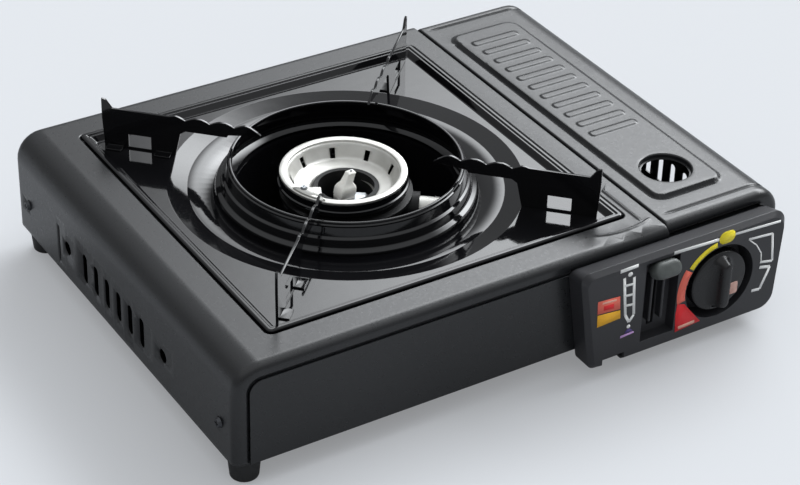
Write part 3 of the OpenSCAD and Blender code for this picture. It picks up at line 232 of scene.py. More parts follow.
def rise_in(points, centre, a, b, c, soft):
    """How far points are up a pressed step round a rounded rectangle, from 0 outside to 1 inside:
    the distance to its outline, eased over the width `soft`."""
    q = np.abs(points - np.array(centre)) - np.array([a - c, b - c])
    away = np.linalg.norm(np.maximum(q, 0), axis=1) + np.minimum(q.max(axis=1), 0) - c
    t = np.clip(0.5 - away / soft, 0, 1)
    return t * t * (3 - 2 * t)


# Powder coat on steel sheet: cured in an oven, it keeps a fine orange-peel skin, so its highlights are
# soft and slightly uneven. The peel is about 1.6 mm from bump to bump, the grain in it about 0.35 mm.
powder_coat, tree, where = new_finish("charcoal_powder_coat")
peel = add(tree, "ShaderNodeTexNoise", {"Vector": where, "Scale": 620, "Detail": 2})
grain = add(tree, "ShaderNodeTexNoise", {"Vector": where, "Scale": 2900, "Detail": 1})
cloud = add(tree, "ShaderNodeTexNoise", {"Vector": where, "Scale": 14, "Detail": 3})
skin = add(tree, "ShaderNodeBump", {"Height": peel, "Strength": 0.35, "Distance": 0.00004})
skin = add(tree, "ShaderNodeBump", {"Height": grain, "Normal": skin, "Strength": 0.3, "Distance": 0.00002})
tint = add(tree, "ShaderNodeValToRGB", {"Fac": cloud}, stops=((0.3, "#151618"), (0.7, "#1b1c1e")))
matt = add(tree, "ShaderNodeMapRange", {"Value": peel, "From Min": 0.3, "From Max": 0.7,
                                        "To Min": 0.27, "To Max": 0.33})
coat = add(tree, "ShaderNodeBsdfPrincipled", {"Base Color": tint, "Roughness": matt, "Normal": skin, "IOR": 1.5})
add(tree, "ShaderNodeOutputMaterial", {"Surface": coat})

left, right, front, back, low, deck = -170.0, 170.0, -118.0, 140.0, 15.0, 73.0
burner = np.array([-31.0, 11.0])
sheet = 0.8
shell_edge = 91.4
section, profile, inward = folded([(left, low), (left, deck), (shell_edge, deck), (shell_edge, deck - 8)], (15, 1))
inward[profile[:, 0] > shell_edge - 2.5] = (0, -1)
ends, curl, _ = folded([(front, 8), (front, 0), (back, 0), (back, 8)], (4.8, 4.8))


def at_height(z):
    """Distance along the section to a height on the left wall."""
    return z - low


def at_x(x):
    """Distance along the section to a place on the deck."""
    flat = profile[:, 1] > deck - 1e-6
    return np.interp(x, profile[flat, 0], section[flat])


def at_y(y):
    """Distance across the ends' fold to a place between the two curled ends."""
    flat = curl[:, 1] < 1e-6
    return np.interp(y, curl[flat, 0], ends[flat])


seat_side, seat_corner, seat_level = 109.8, 4.8, deck - 3.6
wall_holes = [ring(9, 2.75, 2.75, 8, (at_height(34.5), at_y(burner[1] + (i - 2.5) * 13.6 + 6))) for i in range(6)]
wall_holes += [ring(4, 4, 4, 8, (at_height(35), at_y(y))) for y in (-41, 73)]
wall_holes += [ring(1.7, 1.7, 1.7, 5, (at_height(34), at_y(y))) for y in (-102.6, 124.6)]
wall_holes += [ring(11.5, 0.7, 0.6, 4, (at_height(32.5), at_y(83.7)))]
turn = np.linspace(0, np.pi / 2, 10)
corner = np.stack([10 * (1 - np.sin(turn)), ends[-1] - 15.4 * (1 - np.cos(turn))], 1)
corner = np.concatenate([corner, [[-0.001, ends[-1] - 15.4], [-0.001, ends[-1] + 0.001], [10, ends[-1] + 0.001]]])
seat_hole = ring(seat_side, seat_side, seat_corner, 8, (at_x(burner[0]), at_y(burner[1])))

# The bead: two pressed lines round the pan's right front corner, the front one bent back at its end.
bead_x = np.arange(53.2, 86.8, 0.8)
bead_paths = [np.array([(81.8, y) for y in np.arange(-102.8, -70, 0.8)]),
              np.stack([bead_x, np.interp(bead_x, (53, 59, 65, 71.4, 77.3, 82.6, 86.7),
                                          (-105.6, -107.5, -108.4, -108.5, -108, -107, -105.6))], 1)]
bead_offsets = np.array([-1.5, -1, -0.6, -0.3, 0, 0.3, 0.6, 1, 1.5])
bead_points = []
for path in bead_paths:
    way = np.gradient(path, axis=0)
    way /= np.linalg.norm(way, axis=1)[:, None]
    side = np.stack([-way[:, 1], way[:, 0]], 1)
    bead_points.append((path[:, None] + side[:, None] * bead_offsets[None, :, None]).reshape(-1, 2))
bead_in_sheet = [np.stack([at_x(p[:, 0]), at_y(p[:, 1])], 1) for p in bead_points]
bead_bands = [(np.concatenate([p.reshape(-1, 9, 2)[:, 0], p.reshape(-1, 9, 2)[::-1, 8]]), None)
              for p in bead_in_sheet]

across = [section, np.linspace(at_x(-150), at_x(88), 20), np.linspace(2, 40, 8)]
along = [ends, np.linspace(ends[12], ends[-13], 22), np.linspace(at_y(-110.4), at_y(-66), 36)]
# The seam's flange stops short of both curled ends, and the wall's back corner is rounded off.
dropped = [box(section[-3], section[-1] + 1, -1, at_y(front + 6.5)),
           box(section[-3], section[-1] + 1, at_y(back - 6.5), ends[-1] + 1), corner]
across, along = [np.unique(np.concatenate(lines).round(4)) for lines in (across, along)]
flat_spots, flat_faces = cut_sheet(across, along, wall_holes + [seat_hole], bead_in_sheet, bead_bands, dropped)


def laid(spots, section, profile, inward, ends, curl, raised=0):
    """Puts a flat sheet on its folds: the first number runs along the section, the second across the ends,
    where the section draws in as the end curls over. `raised` lifts points off the outer face."""
    s, w = spots[:, 0], spots[:, 1]
    x, z = np.interp(s, section, profile[:, 0]), np.interp(s, section, profile[:, 1])
    nx, nz = np.interp(s, section, inward[:, 0]), np.interp(s, section, inward[:, 1])
    y, inset = np.interp(w, ends, curl[:, 0]), np.interp(w, ends, curl[:, 1]) - raised
    return np.stack([x + nx * inset, y, z + nz * inset], 1)


on_deck = laid(flat_spots, section, profile, inward, ends, curl)
near = np.full(len(on_deck), 9.0)
for path in bead_paths:
    gap = np.linalg.norm(on_deck[:, None, :2] - path[None], axis=2).min(axis=1)
    near = np.minimum(near, np.where(on_deck[:, 2] > deck - 0.1, gap, 9))
bead = 0.6 * np.cos(np.pi / 2 * np.clip(near / 1.3, 0, 1)) ** 2
on_deck = laid(flat_spots, section, profile, inward, ends, curl, bead)

_, drop, _ = folded([(seat_side, deck), (109, deck), (109, seat_level), (104, seat_level)], (0.79, 0.8), 5, 0.001)
seat_rows = [(seat_side, seat_side, seat_corner, deck)] + [(a, a, a - 105, z) for a, z in drop[2:]]
seat_rows += [(99.6, seat_level), (99, seat_level)]
piece("case_shell", joined((on_deck, flat_faces), stack(seat_rows, 8, at=burner)), powder_coat, "case",
      ["body_shell"], wall=sheet)

# ---- Front and rear panels, side wall, base and partition ----
# Separate pressings of the same coated sheet, spot welded and screwed inside the shell.
# The front and rear panels keep their imported shapes, with the edges that show eased as pressed steel is; the base and
# partition are kept as imported, and the side wall is made anew below.


def eased(node, finish, body, width=0.3, segments=2, sharp=32):
    """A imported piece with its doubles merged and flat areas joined, and its crisp edges rounded by `width`."""
    work = bmesh.new()
    work.from_mesh(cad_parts[node].data)
    bmesh.ops.remove_doubles(work, verts=work.verts, dist=8e-6)
    bmesh.ops.dissolve_limit(work, angle_limit=np.radians(0.6), verts=work.verts, edges=work.edges)
    mesh = bpy.data.meshes.new(node + "_eased")
    work.to_mesh(mesh)
    work.free()
    mesh.materials.clear()
    mesh.materials.append(finish)
    mesh.shade_smooth()
    mesh.set_sharp_from_angle(angle=np.radians(sharp))
    made = bpy.data.objects.new(node + "_eased", mesh)
    bpy.context.scene.collection.objects.link(made)
    ease = made.modifiers.new("eased edges", "BEVEL")
    ease.width, ease.segments, ease.limit_method = width / 1000, segments, "ANGLE"
    ease.angle_limit = np.radians(sharp)
    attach(made, body)
    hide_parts(node)
    return made


def refinish(finish, *nodes):
    """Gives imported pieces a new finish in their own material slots."""
    for node in nodes:
        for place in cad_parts[node].material_slots:
            place.material = finish


for node in ("front_panel", "rear_panel"):
    eased(node, powder_coat, "case", 0.5, 3)
refinish(powder_coat, "base_plate", "partition")

# The right wall is folded at both ends; its upright slots show through the lid's viewing hole.
wall_front, wall_back, wall_high, fold_run = front + 7, back - 7, 29.5, 12.57
run, plan, _ = folded([(right - 13, wall_front), (right, wall_front), (right, wall_back), (right - 13, wall_back)],
                      (1, 1), 5, 0.4)
slots = [ring(2.3, 9, 2.3, 6, (y - front - 7 + fold_run, 14)) for y in np.arange(-45.8, 40, 11.2)]
slots += [ring(1.7, 1.7, 1.7, 5, (y - front - 7 + fold_run, 19)) for y in (-102.6, 124.6)]
slot_spots, slot_faces = cut_sheet(np.concatenate([run, np.linspace(14.4, run[-1] - 14.4, 60)]),
                                   np.linspace(0, wall_high, 9), slots)
slot_points = np.stack([np.interp(slot_spots[:, 0], run, plan[:, 0]), np.interp(slot_spots[:, 0], run, plan[:, 1]),
                        low + slot_spots[:, 1]], 1)
piece("slotted_wall", (slot_points, slot_faces), powder_coat, "case", ["right_wall"], wall=sheet)

# ---- Cartridge lid ----
# One pressing that wraps over the right edge and turns on two pins: a raised field with ribs,
# a viewing hole with its rim turned down, and a press line near each end.

seam_side, lid_front, lid_back, lid_low = 92.6, -115.0, 137.0, 48.0
lid_section, lid_profile, lid_inward = folded(
    [(seam_side, deck - 6), (seam_side, deck), (right, deck), (right, lid_low)], (1, 15))
lid_inward[lid_profile[:, 0] < seam_side + 2.5] = (0, -1)
lid_ends, lid_curl, _ = folded([(lid_front, 8), (lid_front, 0), (lid_back, 0), (lid_back, 8)], (4.8, 4.8))
lid_flat = lid_profile[:, 1] > deck - 1e-6
lid_level = lid_curl[:, 1] < 1e-6


def on_lid(x, y):
    """A place on the lid's top as distances along its section and across its ends."""
    return (np.interp(x, lid_profile[lid_flat, 0], lid_section[lid_flat]),
            np.interp(y, lid_curl[lid_level, 0], lid_ends[lid_level]))


field_x, (half_x, half_y), view_at, view_radius = 124.3, (22.7, 103.6), (124.4, -70.2), 14.4
field_middle, view_middle = on_lid(field_x, 10.4), on_lid(*view_at)
rib_middles = [on_lid(field_x, -21.5 + 12 * i) for i in range(11)]
# Rows of points follow each pressed step closely, and clear the plain grid from beside it.
borders = [dense(ring(half_x + o, half_y + o, 7 + o, 8, field_middle), 300)
           for o in (-2.2, -1.5, -1.15, -0.8, -0.4, 0, 0.4, 0.8, 1.15, 1.5, 2.2)]
bands = [tuple(ring(half_x + o, half_y + o, 7 + o, 8, field_middle) for o in (2.6, -2.6))]
for middle in rib_middles:
    borders += [dense(ring(15.7 + o, 2.5 + o, 1.8 + o, 5, middle), 72) for o in (-1.3, -0.6, -0.2, 0.2, 0.6, 1.3)]
    bands.append((ring(17.4, 4.2, 3.4, 5, middle), None))
view_cut, view_border, view_band = [ring(r, r, r, 10, view_middle) for r in view_radius + np.array([1, 2.4, 2.8])]
borders.append(dense(view_border, 44))
bands.append((view_band, None))
groove_w = [on_lid(124, y)[1] for y in (-105.5, 129)]
groove_lines = np.concatenate([w + np.array([-2, -1.1, -0.7, -0.35, 0, 0.35, 0.7, 1.1, 2]) for w in groove_w])
lid_across = [lid_section, np.linspace(on_lid(96, 0)[0], on_lid(153, 0)[0], 12),
              np.linspace(lid_section[-2], lid_section[-1], 3)]
lid_along = [lid_ends, groove_lines, np.linspace(lid_ends[12], lid_ends[-13], 24)]
# The curled lips are shorter on the lid's top than on its side, and the seam's flange ends before them.
curl_in = np.interp(6.2, lid_curl[-6:, 1], lid_ends[-6:])
lip_w, lip_s, past_s, past_w = lid_ends[-1] - curl_in, on_lid(158, 0)[0], lid_section[-1] + 1, lid_ends[-1] + 1
sheet_cut = [box(-1, lip_s, -1, lip_w), box(-1, lip_s, curl_in, past_w),
             box(-1, lid_section[2], -1, on_lid(0, lid_front + 6.5)[1]),
             box(-1, lid_section[2], on_lid(0, lid_back - 6.5)[1], past_w)]
# A notch by each pin, so that the open lid clears the tab that holds it.
sheet_cut += [box(lid_section[-1] - 6, past_s, on_lid(124, near_y)[1], on_lid(124, far_y)[1])
              for near_y, far_y in ((-108.8, -105.4), (127.4, 131.0))]
lid_across, lid_along = [np.unique(np.concatenate(lines).round(4)) for lines in (lid_across, lid_along)]
lid_spots, lid_faces = cut_sheet(lid_across, lid_along, [view_cut], borders, bands, sheet_cut)
lid_s, lid_w = lid_spots.T
step_up = rise_in(lid_spots, field_middle, half_x, half_y, 7, 3.0)
near_side = np.clip((field_middle[0] + 19 - lid_s) / 3, 0, 1) * np.clip((field_middle[1] + 98 - lid_w) / 3, 0, 1)
pressed = 1.8 * step_up - 5.6 * near_side * step_up * (1 - step_up)
for middle in rib_middles:
    pressed = pressed + 0.5 * rise_in(lid_spots, middle, 15.7, 2.5, 1.8, 1.4)
for w in groove_w:
    reach = np.clip((lid_s - on_lid(96, 0)[0]) / 3, 0, 1) * np.clip((lid_section[-1] - 8 - lid_s) / 4, 0, 1)
    pressed = pressed - 0.75 * reach * np.cos(np.pi / 2 * np.clip((lid_w - w) / 1.2, -1, 1)) ** 2
lid_shape = laid(lid_spots, lid_section, lid_profile, lid_inward, lid_ends, lid_curl, pressed)
lip_rows = [(view_radius + 1 - np.sin(t), deck + 1.8 - (1 - np.cos(t))) for t in np.linspace(0, np.pi / 2, 5)]
lip_rows += [(14.4, deck - 0.5), (14.2, deck - 0.9), (13.3, deck - 1.0), (13.1, deck - 1.3)]
# Inside each end an ear is hooked over the hinge pin.
over_pin = np.radians(np.linspace(214, -34, 15))
ear = np.concatenate([[(163.3, 48)], np.stack([166.5 + 1.8 * np.cos(over_pin), 49 + 1.8 * np.sin(over_pin)], 1),
                      [(169.5, 48), (169.6, 49), (169.6, 58), (163.3, 58)]])
ears = [(np.insert(ear, 1, y, axis=1), [list(range(len(ear)))]) for y in (-109.7, 132.3)]
piece("cartridge_lid_sheet", joined((lid_shape, lid_faces), stack(lip_rows, 10, at=view_at), *ears), powder_coat,
      "lid", ["cartridge_lid"], wall=sheet)

# ---- Drip pan ----
# The tray under the pot: pressed steel with a rolled rim and a shallow round step, fired with gloss black
# enamel. It lies loose in the deck's seat and is lifted off by hand.

# Vitreous enamel is glass fused to steel: deep black with a hard, wet shine, very slightly rippled
# where it ran in the kiln. The ripple is about 9 mm across.
enamel, tree, where = new_finish("gloss_black_enamel")
ripple = add(tree, "ShaderNodeTexNoise", {"Vector": where, "Scale": 110, "Detail": 1})
wave = add(tree, "ShaderNodeBump", {"Height": ripple, "Strength": 0.12, "Distance": 0.0002})
dust = add(tree, "ShaderNodeTexNoise", {"Vector": where, "Scale": 900, "Detail": 3})
dull = add(tree, "ShaderNodeMapRange", {"Value": dust, "From Min": 0.4, "From Max": 0.75,
                                        "To Min": 0.05, "To Max": 0.1})
glass_coat = add(tree, "ShaderNodeBsdfPrincipled", {"Base Color": linear("#0c0c0e"), "Roughness": dull, "IOR": 1.45,
                                                    "Normal": wave})
add(tree, "ShaderNodeOutputMaterial", {"Surface": glass_coat})

pan_half, pan_floor = 108.0, 70.4
_, rim, _ = folded([(pan_half, 70), (pan_half, 74.2), (105.6, 74.2), (104.9, 73.4), (103.9, 73.4), (101.4, pan_floor),
                    (98, pan_floor)], (1.15, 0.5, 0.4, 0.5, 1.1), 7, 0.15)
_, step, _ = folded([(98.6, pan_floor), (97.4, pan_floor), (86.4, 68.0), (61.8, 68.0)], (0.8, 1.6), 7, 0.4)
pan_rows = [(a, a, max(a - 105, 1.0), z) for a, z in rim[:-1]]
pan_rows += [(100, 100, 1.0, pan_floor), (98.8, pan_floor), *step[1:]]
piece("enamel_pan", stack(pan_rows, 24, at=burner), enamel, "pan", ["drip_pan"], wall=sheet)

# ---- Wind collar ----
# The ring that keeps draughts off the flame: drawn steel in the same enamel, riveted inside the pan, with a
# rolled lip, two shoulders and a flared foot.

_, collar_line, _ = folded([(71.6, 68.15), (71.0, 69.4), (68.3, 70.4), (67.6, 75.2), (66.0, 75.9), (64.6, 80.9),
                            (64.9, 81.8), (64.0, 82.2), (63.7, 83.6), (62.2, 83.5), (61.9, 81.5)],
                           (0.3, 0.9, 0.5, 0.5, 0.3, 0.3, 0.3, 0.6, 0.5), 5, 0.05)
piece("collar_ring", stack(collar_line, 32, at=burner), enamel, "pan", ["wind_collar"], wall=0.7)

# ---- Pan supports ----
# Four plates on the pan's diagonals that carry the pot: stamped steel in the same enamel, with a horn, a
# window and a toothed arm. Each is held by two tabs bent under the pan.

for side in ("left", "right", "back", "front"):
    eased("pan_support_" + side, enamel, "pan", 0.3, 3)

# ---- Burner ----
# Black bowl and plated bracket under the pan, a cast mixing chamber, and the bright pressed ring with
# its flame ports. The mixing tube runs to the valve; a small tab on the ring shields the igniter.

# Cast and turned aluminium: pale grey, softly bright, with fine turning marks about 0.4 mm apart
# and faint staining from heat.
bright_alloy, tree, where = new_finish("turned_aluminium")
turning = add(tree, "ShaderNodeTexNoise", {"Vector": where, "Scale": 1500, "Detail": 2})
stain = add(tree, "ShaderNodeTexNoise", {"Vector": where, "Scale": 90, "Detail": 3})
marks = add(tree, "ShaderNodeBump", {"Height": turning, "Strength": 0.3, "Distance": 0.00004})
tone = add(tree, "ShaderNodeValToRGB", {"Fac": stain}, stops=((0.35, "#cbcac5"), (0.6, "#d9d8d4")))
soft = add(tree, "ShaderNodeMapRange", {"Value": stain, "From Min": 0.3, "From Max": 0.7,
                                        "To Min": 0.5, "To Max": 0.62})
metal = add(tree, "ShaderNodeBsdfPrincipled", {"Base Color": tone, "Metallic": 1.0, "Roughness": soft, "Normal": marks})
add(tree, "ShaderNodeOutputMaterial", {"Surface": metal})

# Zinc-plated steel: cool grey with a soft sheen and a cloudy spangle about 4 mm across.
zinc_plate, tree, where = new_finish("zinc_plated_steel")
spangle = add(tree, "ShaderNodeTexNoise", {"Vector": where, "Scale": 250, "Detail": 3})
tone = add(tree, "ShaderNodeValToRGB", {"Fac": spangle}, stops=((0.35, "#9ea2a6"), (0.65, "#c3c6c8")))
soft = add(tree, "ShaderNodeMapRange", {"Value": spangle, "From Min": 0.3, "From Max": 0.7,
                                        "To Min": 0.28, "To Max": 0.42})
metal = add(tree, "ShaderNodeBsdfPrincipled", {"Base Color": tone, "Metallic": 1.0, "Roughness": soft})
add(tree, "ShaderNodeOutputMaterial", {"Surface": metal})

# Heat-proof paint baked on steel: flat black with a dry, slightly gritty skin. The grit is about 0.5 mm.
stove_black, tree, where = new_finish("baked_matt_black")
grit = add(tree, "ShaderNodeTexNoise", {"Vector": where, "Scale": 2000, "Detail": 2})
rough_skin = add(tree, "ShaderNodeBump", {"Height": grit, "Strength": 0.4, "Distance": 0.00004})
sheen = add(tree, "ShaderNodeMapRange", {"Value": grit, "From Min": 0.3, "From Max": 0.7,
                                         "To Min": 0.5, "To Max": 0.62})
paint = add(tree, "ShaderNodeBsdfPrincipled", {"Base Color": linear("#060607"), "Roughness": sheen,
                                               "Normal": rough_skin, "IOR": 1.4})
add(tree, "ShaderNodeOutputMaterial", {"Surface": paint})

# The head is a turned rim and, inside it, a steep wall with nine upright ports that turns in to the throat.
# The wall is cut flat, distance round (at 30 mm from the middle) by distance down, then bent round.
head = burner + (-1.4, 0.8)
rim_rows = [(34.2, 75.0), (34.8, 75.2), (35.0, 75.6), (35.0, 76.4), (34.85, 76.8), (34.5, 77.0), (31.4, 77.0),
            (31.1, 76.85), (30.95, 76.5), (30.85, 75.7), (30.5, 75.5)]
down, wall_line, _ = folded([(30.5, 75.5), (26.6, 67.7), (19.0, 66.2), (16.4, 61.8)], (2.4, 3.2), 7, 0.4)
round_at = 30.0
ports = [ring(1.6, 2.9, 0.4, 3, (np.radians(32 + 40 * i) * round_at, 5.6)) for i in range(9)]
inner_spots, inner_faces = cut_sheet(np.linspace(0, 2 * np.pi, 145) * round_at, np.append(down, [1.2, 2.4]), ports)
around_by, inner_r = inner_spots[:, 0] / round_at, np.interp(inner_spots[:, 1], down, wall_line[:, 0])
inner_points = np.stack([inner_r * np.cos(around_by), inner_r * np.sin(around_by),
                         np.interp(inner_spots[:, 1], down, wall_line[:, 1])], 1)
head_points, head_faces = joined(stack(rim_rows, 36), (inner_points, inner_faces))
head_points[:, :2] += head
piece("burner_ring", (head_points, head_faces), bright_alloy, "case", ["burner_head"], wall=0.7)
skirt_rows = [(33.6, 66.8), (34.2, 67.6), (34.8, 69.6), (35.2, 70.2), (36.0, 70.4), (36.2, 70.9), (36.0, 71.5),
              (35.2, 71.9), (34.9, 72.6), (34.9, 76.2), (34.0, 76.5)]
piece("burner_skirt", stack(skirt_rows, 24, at=head), enamel, "case", wall=0.5)
bow = np.radians(np.linspace(186, 223, 10))
shield = np.concatenate([head + 33.9 * np.stack([np.cos(bow), np.sin(bow)], 1),
                         [(-57.0, -8.4), (-59.8, -5.2), (-59.2, -4.6), (-56.5, -7.0), (-56.2, -5.8), (-53.1, 0.8)]])
piece("flame_shield_tab", (np.insert(shield, 2, 77.9, axis=1), [list(range(len(shield)))]), bright_alloy,
      "case", ["burner_tab"], wall=0.7)
refinish(bright_alloy, "mixing_tube", "heat_plate")
refinish(stove_black, "burner_base")
refinish(enamel, "burner_bowl")
refinish(zinc_plate, "burner_bracket", "bracket_screws", "burner_screws", "electrode_holder", "regulator_bracket",
         "cartridge_guide", "piezo_clip", "lever_shaft", "shaft_bearings", "latch_yoke", "spring_post",
         "panel_screws", "bay_guides", "foot_screws", "regulator_screws", "lid_hinge_pins")

# ---- Igniter ----
# A steel spark pin in a porcelain insulator, clipped in the burner's throat. A silicone-covered wire feeds it
# from the push igniter, a moulded case with a red plunger that a cam on the valve's spindle presses.

# Glazed porcelain: warm white with a thin, glossy glaze.
porcelain, tree, where = new_finish("glazed_porcelain")
speck = add(tree, "ShaderNodeTexNoise", {"Vector": where, "Scale": 700, "Detail": 2})
tone = add(tree, "ShaderNodeValToRGB", {"Fac": speck}, stops=((0.3, "#f1efe8"), (0.7, "#f9f8f3")))
glaze = add(tree, "ShaderNodeBsdfPrincipled", {"Base Color": tone, "Roughness": 0.18, "IOR": 1.5})
add(tree, "ShaderNodeOutputMaterial", {"Surface": glaze})
block_rows = [(3.6, 3.4, 1.2, 47), (3.8, 3.6, 1.2, 54), (4.7, 4.2, 1.0, 56.0), (5.0, 4.4, 1.2, 60.3),
              (4.5, 4.0, 0.9, 61.0), (5.1, 4.4, 1.1, 61.6), (4.8, 4.4, 1.1, 65.6), (4.2, 3.9, 1.2, 67.2),
              (2.9, 2.7, 1.0, 69.0), (2.5, 2.3, 0.9, 73.8), (2.4, 2.2, 0.7, 75.2), (1.8, 1.7, 0.5, 75.7)]
lean_heights, lean_way = [54, 62, 69, 76], np.array([0.851, -0.525])
block_points, block_faces = stack(block_rows, 5, cap_first=True, cap_last=True)
block_points[:, :2] += burner + np.interp(block_points[:, 2], lean_heights, [-0.9, -0.9, 0.2, 2.6])[:, None] * lean_way
piece("porcelain_block", (block_points, block_faces), porcelain, "case", ["electrode_insulator"],
      rounding=0.25)
pin_points, pin_faces = stack([(0.6, 44), (0.6, 76.2), (0.4, 76.6)], 4, cap_first=True, cap_last=True)
pin_points[:, :2] += burner + np.interp(pin_points[:, 2], lean_heights, [0, -0.9, 0.2, 2.6])[:, None] * lean_way
piece("spark_pin", (pin_points, pin_faces), zinc_plate, "case", ["electrode_pin"])

# Silicone wire cover: off-white, matt and a little dusty.
wire_cover, tree, where = new_finish("silicone_wire_cover")
dust = add(tree, "ShaderNodeTexNoise", {"Vector": where, "Scale": 500, "Detail": 3})
tone = add(tree, "ShaderNodeValToRGB", {"Fac": dust}, stops=((0.3, "#bdb6a6"), (0.7, "#cfc9bb")))
cover = add(tree, "ShaderNodeBsdfPrincipled", {"Base Color": tone, "Roughness": 0.6, "IOR": 1.41})
add(tree, "ShaderNodeOutputMaterial", {"Surface": cover})
refinish(wire_cover, "ignition_wire")

# Moulded acetal of the igniter's case and cam: milky white, faintly waxy.
acetal, tree, where = new_finish("white_acetal")
cast = add(tree, "ShaderNodeTexNoise", {"Vector": where, "Scale": 300, "Detail": 2})
tone = add(tree, "ShaderNodeValToRGB", {"Fac": cast}, stops=((0.3, "#e2ded2"), (0.7, "#ebe8de")))
waxy = add(tree, "ShaderNodeBsdfPrincipled", {"Base Color": tone, "Roughness": 0.42, "IOR": 1.48})
add(tree, "ShaderNodeOutputMaterial", {"Surface": waxy})
refinish(acetal, "piezo_igniter", "igniter_cam")

# The plunger is the same plastic dyed red, a little glossier from sliding.
red_plastic, tree, where = new_finish("red_acetal")
cast = add(tree, "ShaderNodeTexNoise", {"Vector": where, "Scale": 300, "Detail": 2})
gloss = add(tree, "ShaderNodeMapRange", {"Value": cast, "To Min": 0.25, "To Max": 0.4})
dyed = add(tree, "ShaderNodeBsdfPrincipled", {"Base Color": linear("#c5362b"), "Roughness": gloss, "IOR": 1.48})
add(tree, "ShaderNodeOutputMaterial", {"Surface": dyed})
refinish(red_plastic, "igniter_plunger")

# ---- Regulator and valve ----
# Zinc die-cast block with its cover, screwed to a plated bracket in front of the cartridge. A turned brass
# spindle opens it, and a turned brass jet blows into the mixing tube.

# Die-cast zinc: dull grey, slightly uneven from the mould, pores about 0.6 mm apart.
die_cast, tree, where = new_finish("die_cast_zinc")
pores = add(tree, "ShaderNodeTexNoise", {"Vector": where, "Scale": 1600, "Detail": 2})
dents = add(tree, "ShaderNodeBump", {"Height": pores, "Strength": 0.4, "Distance": 0.00005})
soft = add(tree, "ShaderNodeMapRange", {"Value": pores, "To Min": 0.42, "To Max": 0.6})
metal = add(tree, "ShaderNodeBsdfPrincipled", {"Base Color": linear("#9c9fa3"), "Metallic": 1.0, "Roughness": soft,
                                               "Normal": dents})
add(tree, "ShaderNodeOutputMaterial", {"Surface": metal})
refinish(die_cast, "regulator_body", "regulator_cover")

# Turned brass: warm yellow, satin, with tool marks about 0.3 mm apart.
brass, tree, where = new_finish("turned_brass")
cuts = add(tree, "ShaderNodeTexNoise", {"Vector": where, "Scale": 2600, "Detail": 1})
soft = add(tree, "ShaderNodeMapRange", {"Value": cuts, "To Min": 0.22, "To Max": 0.36})
metal = add(tree, "ShaderNodeBsdfPrincipled", {"Base Color": linear("#d8b56a"), "Metallic": 1.0, "Roughness": soft})
add(tree, "ShaderNodeOutputMaterial", {"Surface": metal})
refinish(brass, "injector", "valve_spindle")

# ---- Control panel ----
# Moulded housing screwed in front of the case, with a bowl for the knob, a recess for the lever between two
# rails, and plain printed marks.

# Black ABS with a spark-eroded grain: satin, so broad highlights go dusty grey. The grain is about 0.4 mm.
black_abs, tree, where = new_finish("grained_black_abs")
grain = add(tree, "ShaderNodeTexNoise", {"Vector": where, "Scale": 2500, "Detail": 1})
skin = add(tree, "ShaderNodeBump", {"Height": grain, "Strength": 0.35, "Distance": 0.00003})
satin = add(tree, "ShaderNodeMapRange", {"Value": grain, "From Min": 0.3, "From Max": 0.7,
                                         "To Min": 0.36, "To Max": 0.46})
abs_shader = add(tree, "ShaderNodeBsdfPrincipled", {"Base Color": linear("#2b2b2e"), "Roughness": satin,
                                                    "Normal": skin, "IOR": 1.46})
add(tree, "ShaderNodeOutputMaterial", {"Surface": abs_shader})
housing = eased("control_panel", black_abs, "case", 0.8, 3)
spots = np.empty(len(housing.data.vertices) * 3)
housing.data.vertices.foreach_get("co", spots)
spots = spots.reshape(-1, 3)
falls_from, falls_by, over, behind = 0.06, 0.0034, 0.011, -0.1225  # metres: its top falls away to the back
top_back = (spots[:, 1] > behind) & (spots[:, 2] > falls_from)
spots[top_back, 2] -= falls_by * (spots[top_back, 2] - falls_from) / over
housing.data.vertices.foreach_set("co", spots.ravel())


def upright(points, faces):
    """Turns a stack on its side: its level becomes the distance in front of the origin, its first half side
    runs along X and its second along Z."""
    return np.stack([points[:, 0], -points[:, 2], points[:, 1]], 1), faces


rails = []
for x in (73.2, 80.9):
    rail_rows = [(0.8, 14.5, 0.6, 125.9), (0.8, 14.5, 0.6, 130.0), (0.4, 14.1, 0.3, 130.4)]
    rails.append(upright(*stack(rail_rows, 3, cap_last=True, at=(x, 40.5))))
piece("recess_rails", joined(*rails), black_abs, "case")


def stroke(width, *route):
    """A printed line: one four-sided outline for each straight run, half the width to either side."""
    ends_of = np.array(route, float)
    run_of = np.diff(ends_of, axis=0)
    side_of = np.stack([-run_of[:, 1], run_of[:, 0]], 1) * width / 2 / np.linalg.norm(run_of, axis=1)[:, None]
    return [[a - n, b - n, b + n, a + n] for a, b, n in zip(ends_of[:-1], ends_of[1:], side_of)]


knob_middle = np.array([117.0, 39.0])


def arc_band(inner, outer, start, stop):
    """A printed band round the knob's middle: out along one radius and back along the other, in degrees."""
    angle = np.radians(np.linspace(start, stop, 13))
    rim_of = np.stack([np.cos(angle), np.sin(angle)], 1)
    return [np.concatenate([rim_of * outer, rim_of[::-1] * inner]) + knob_middle]
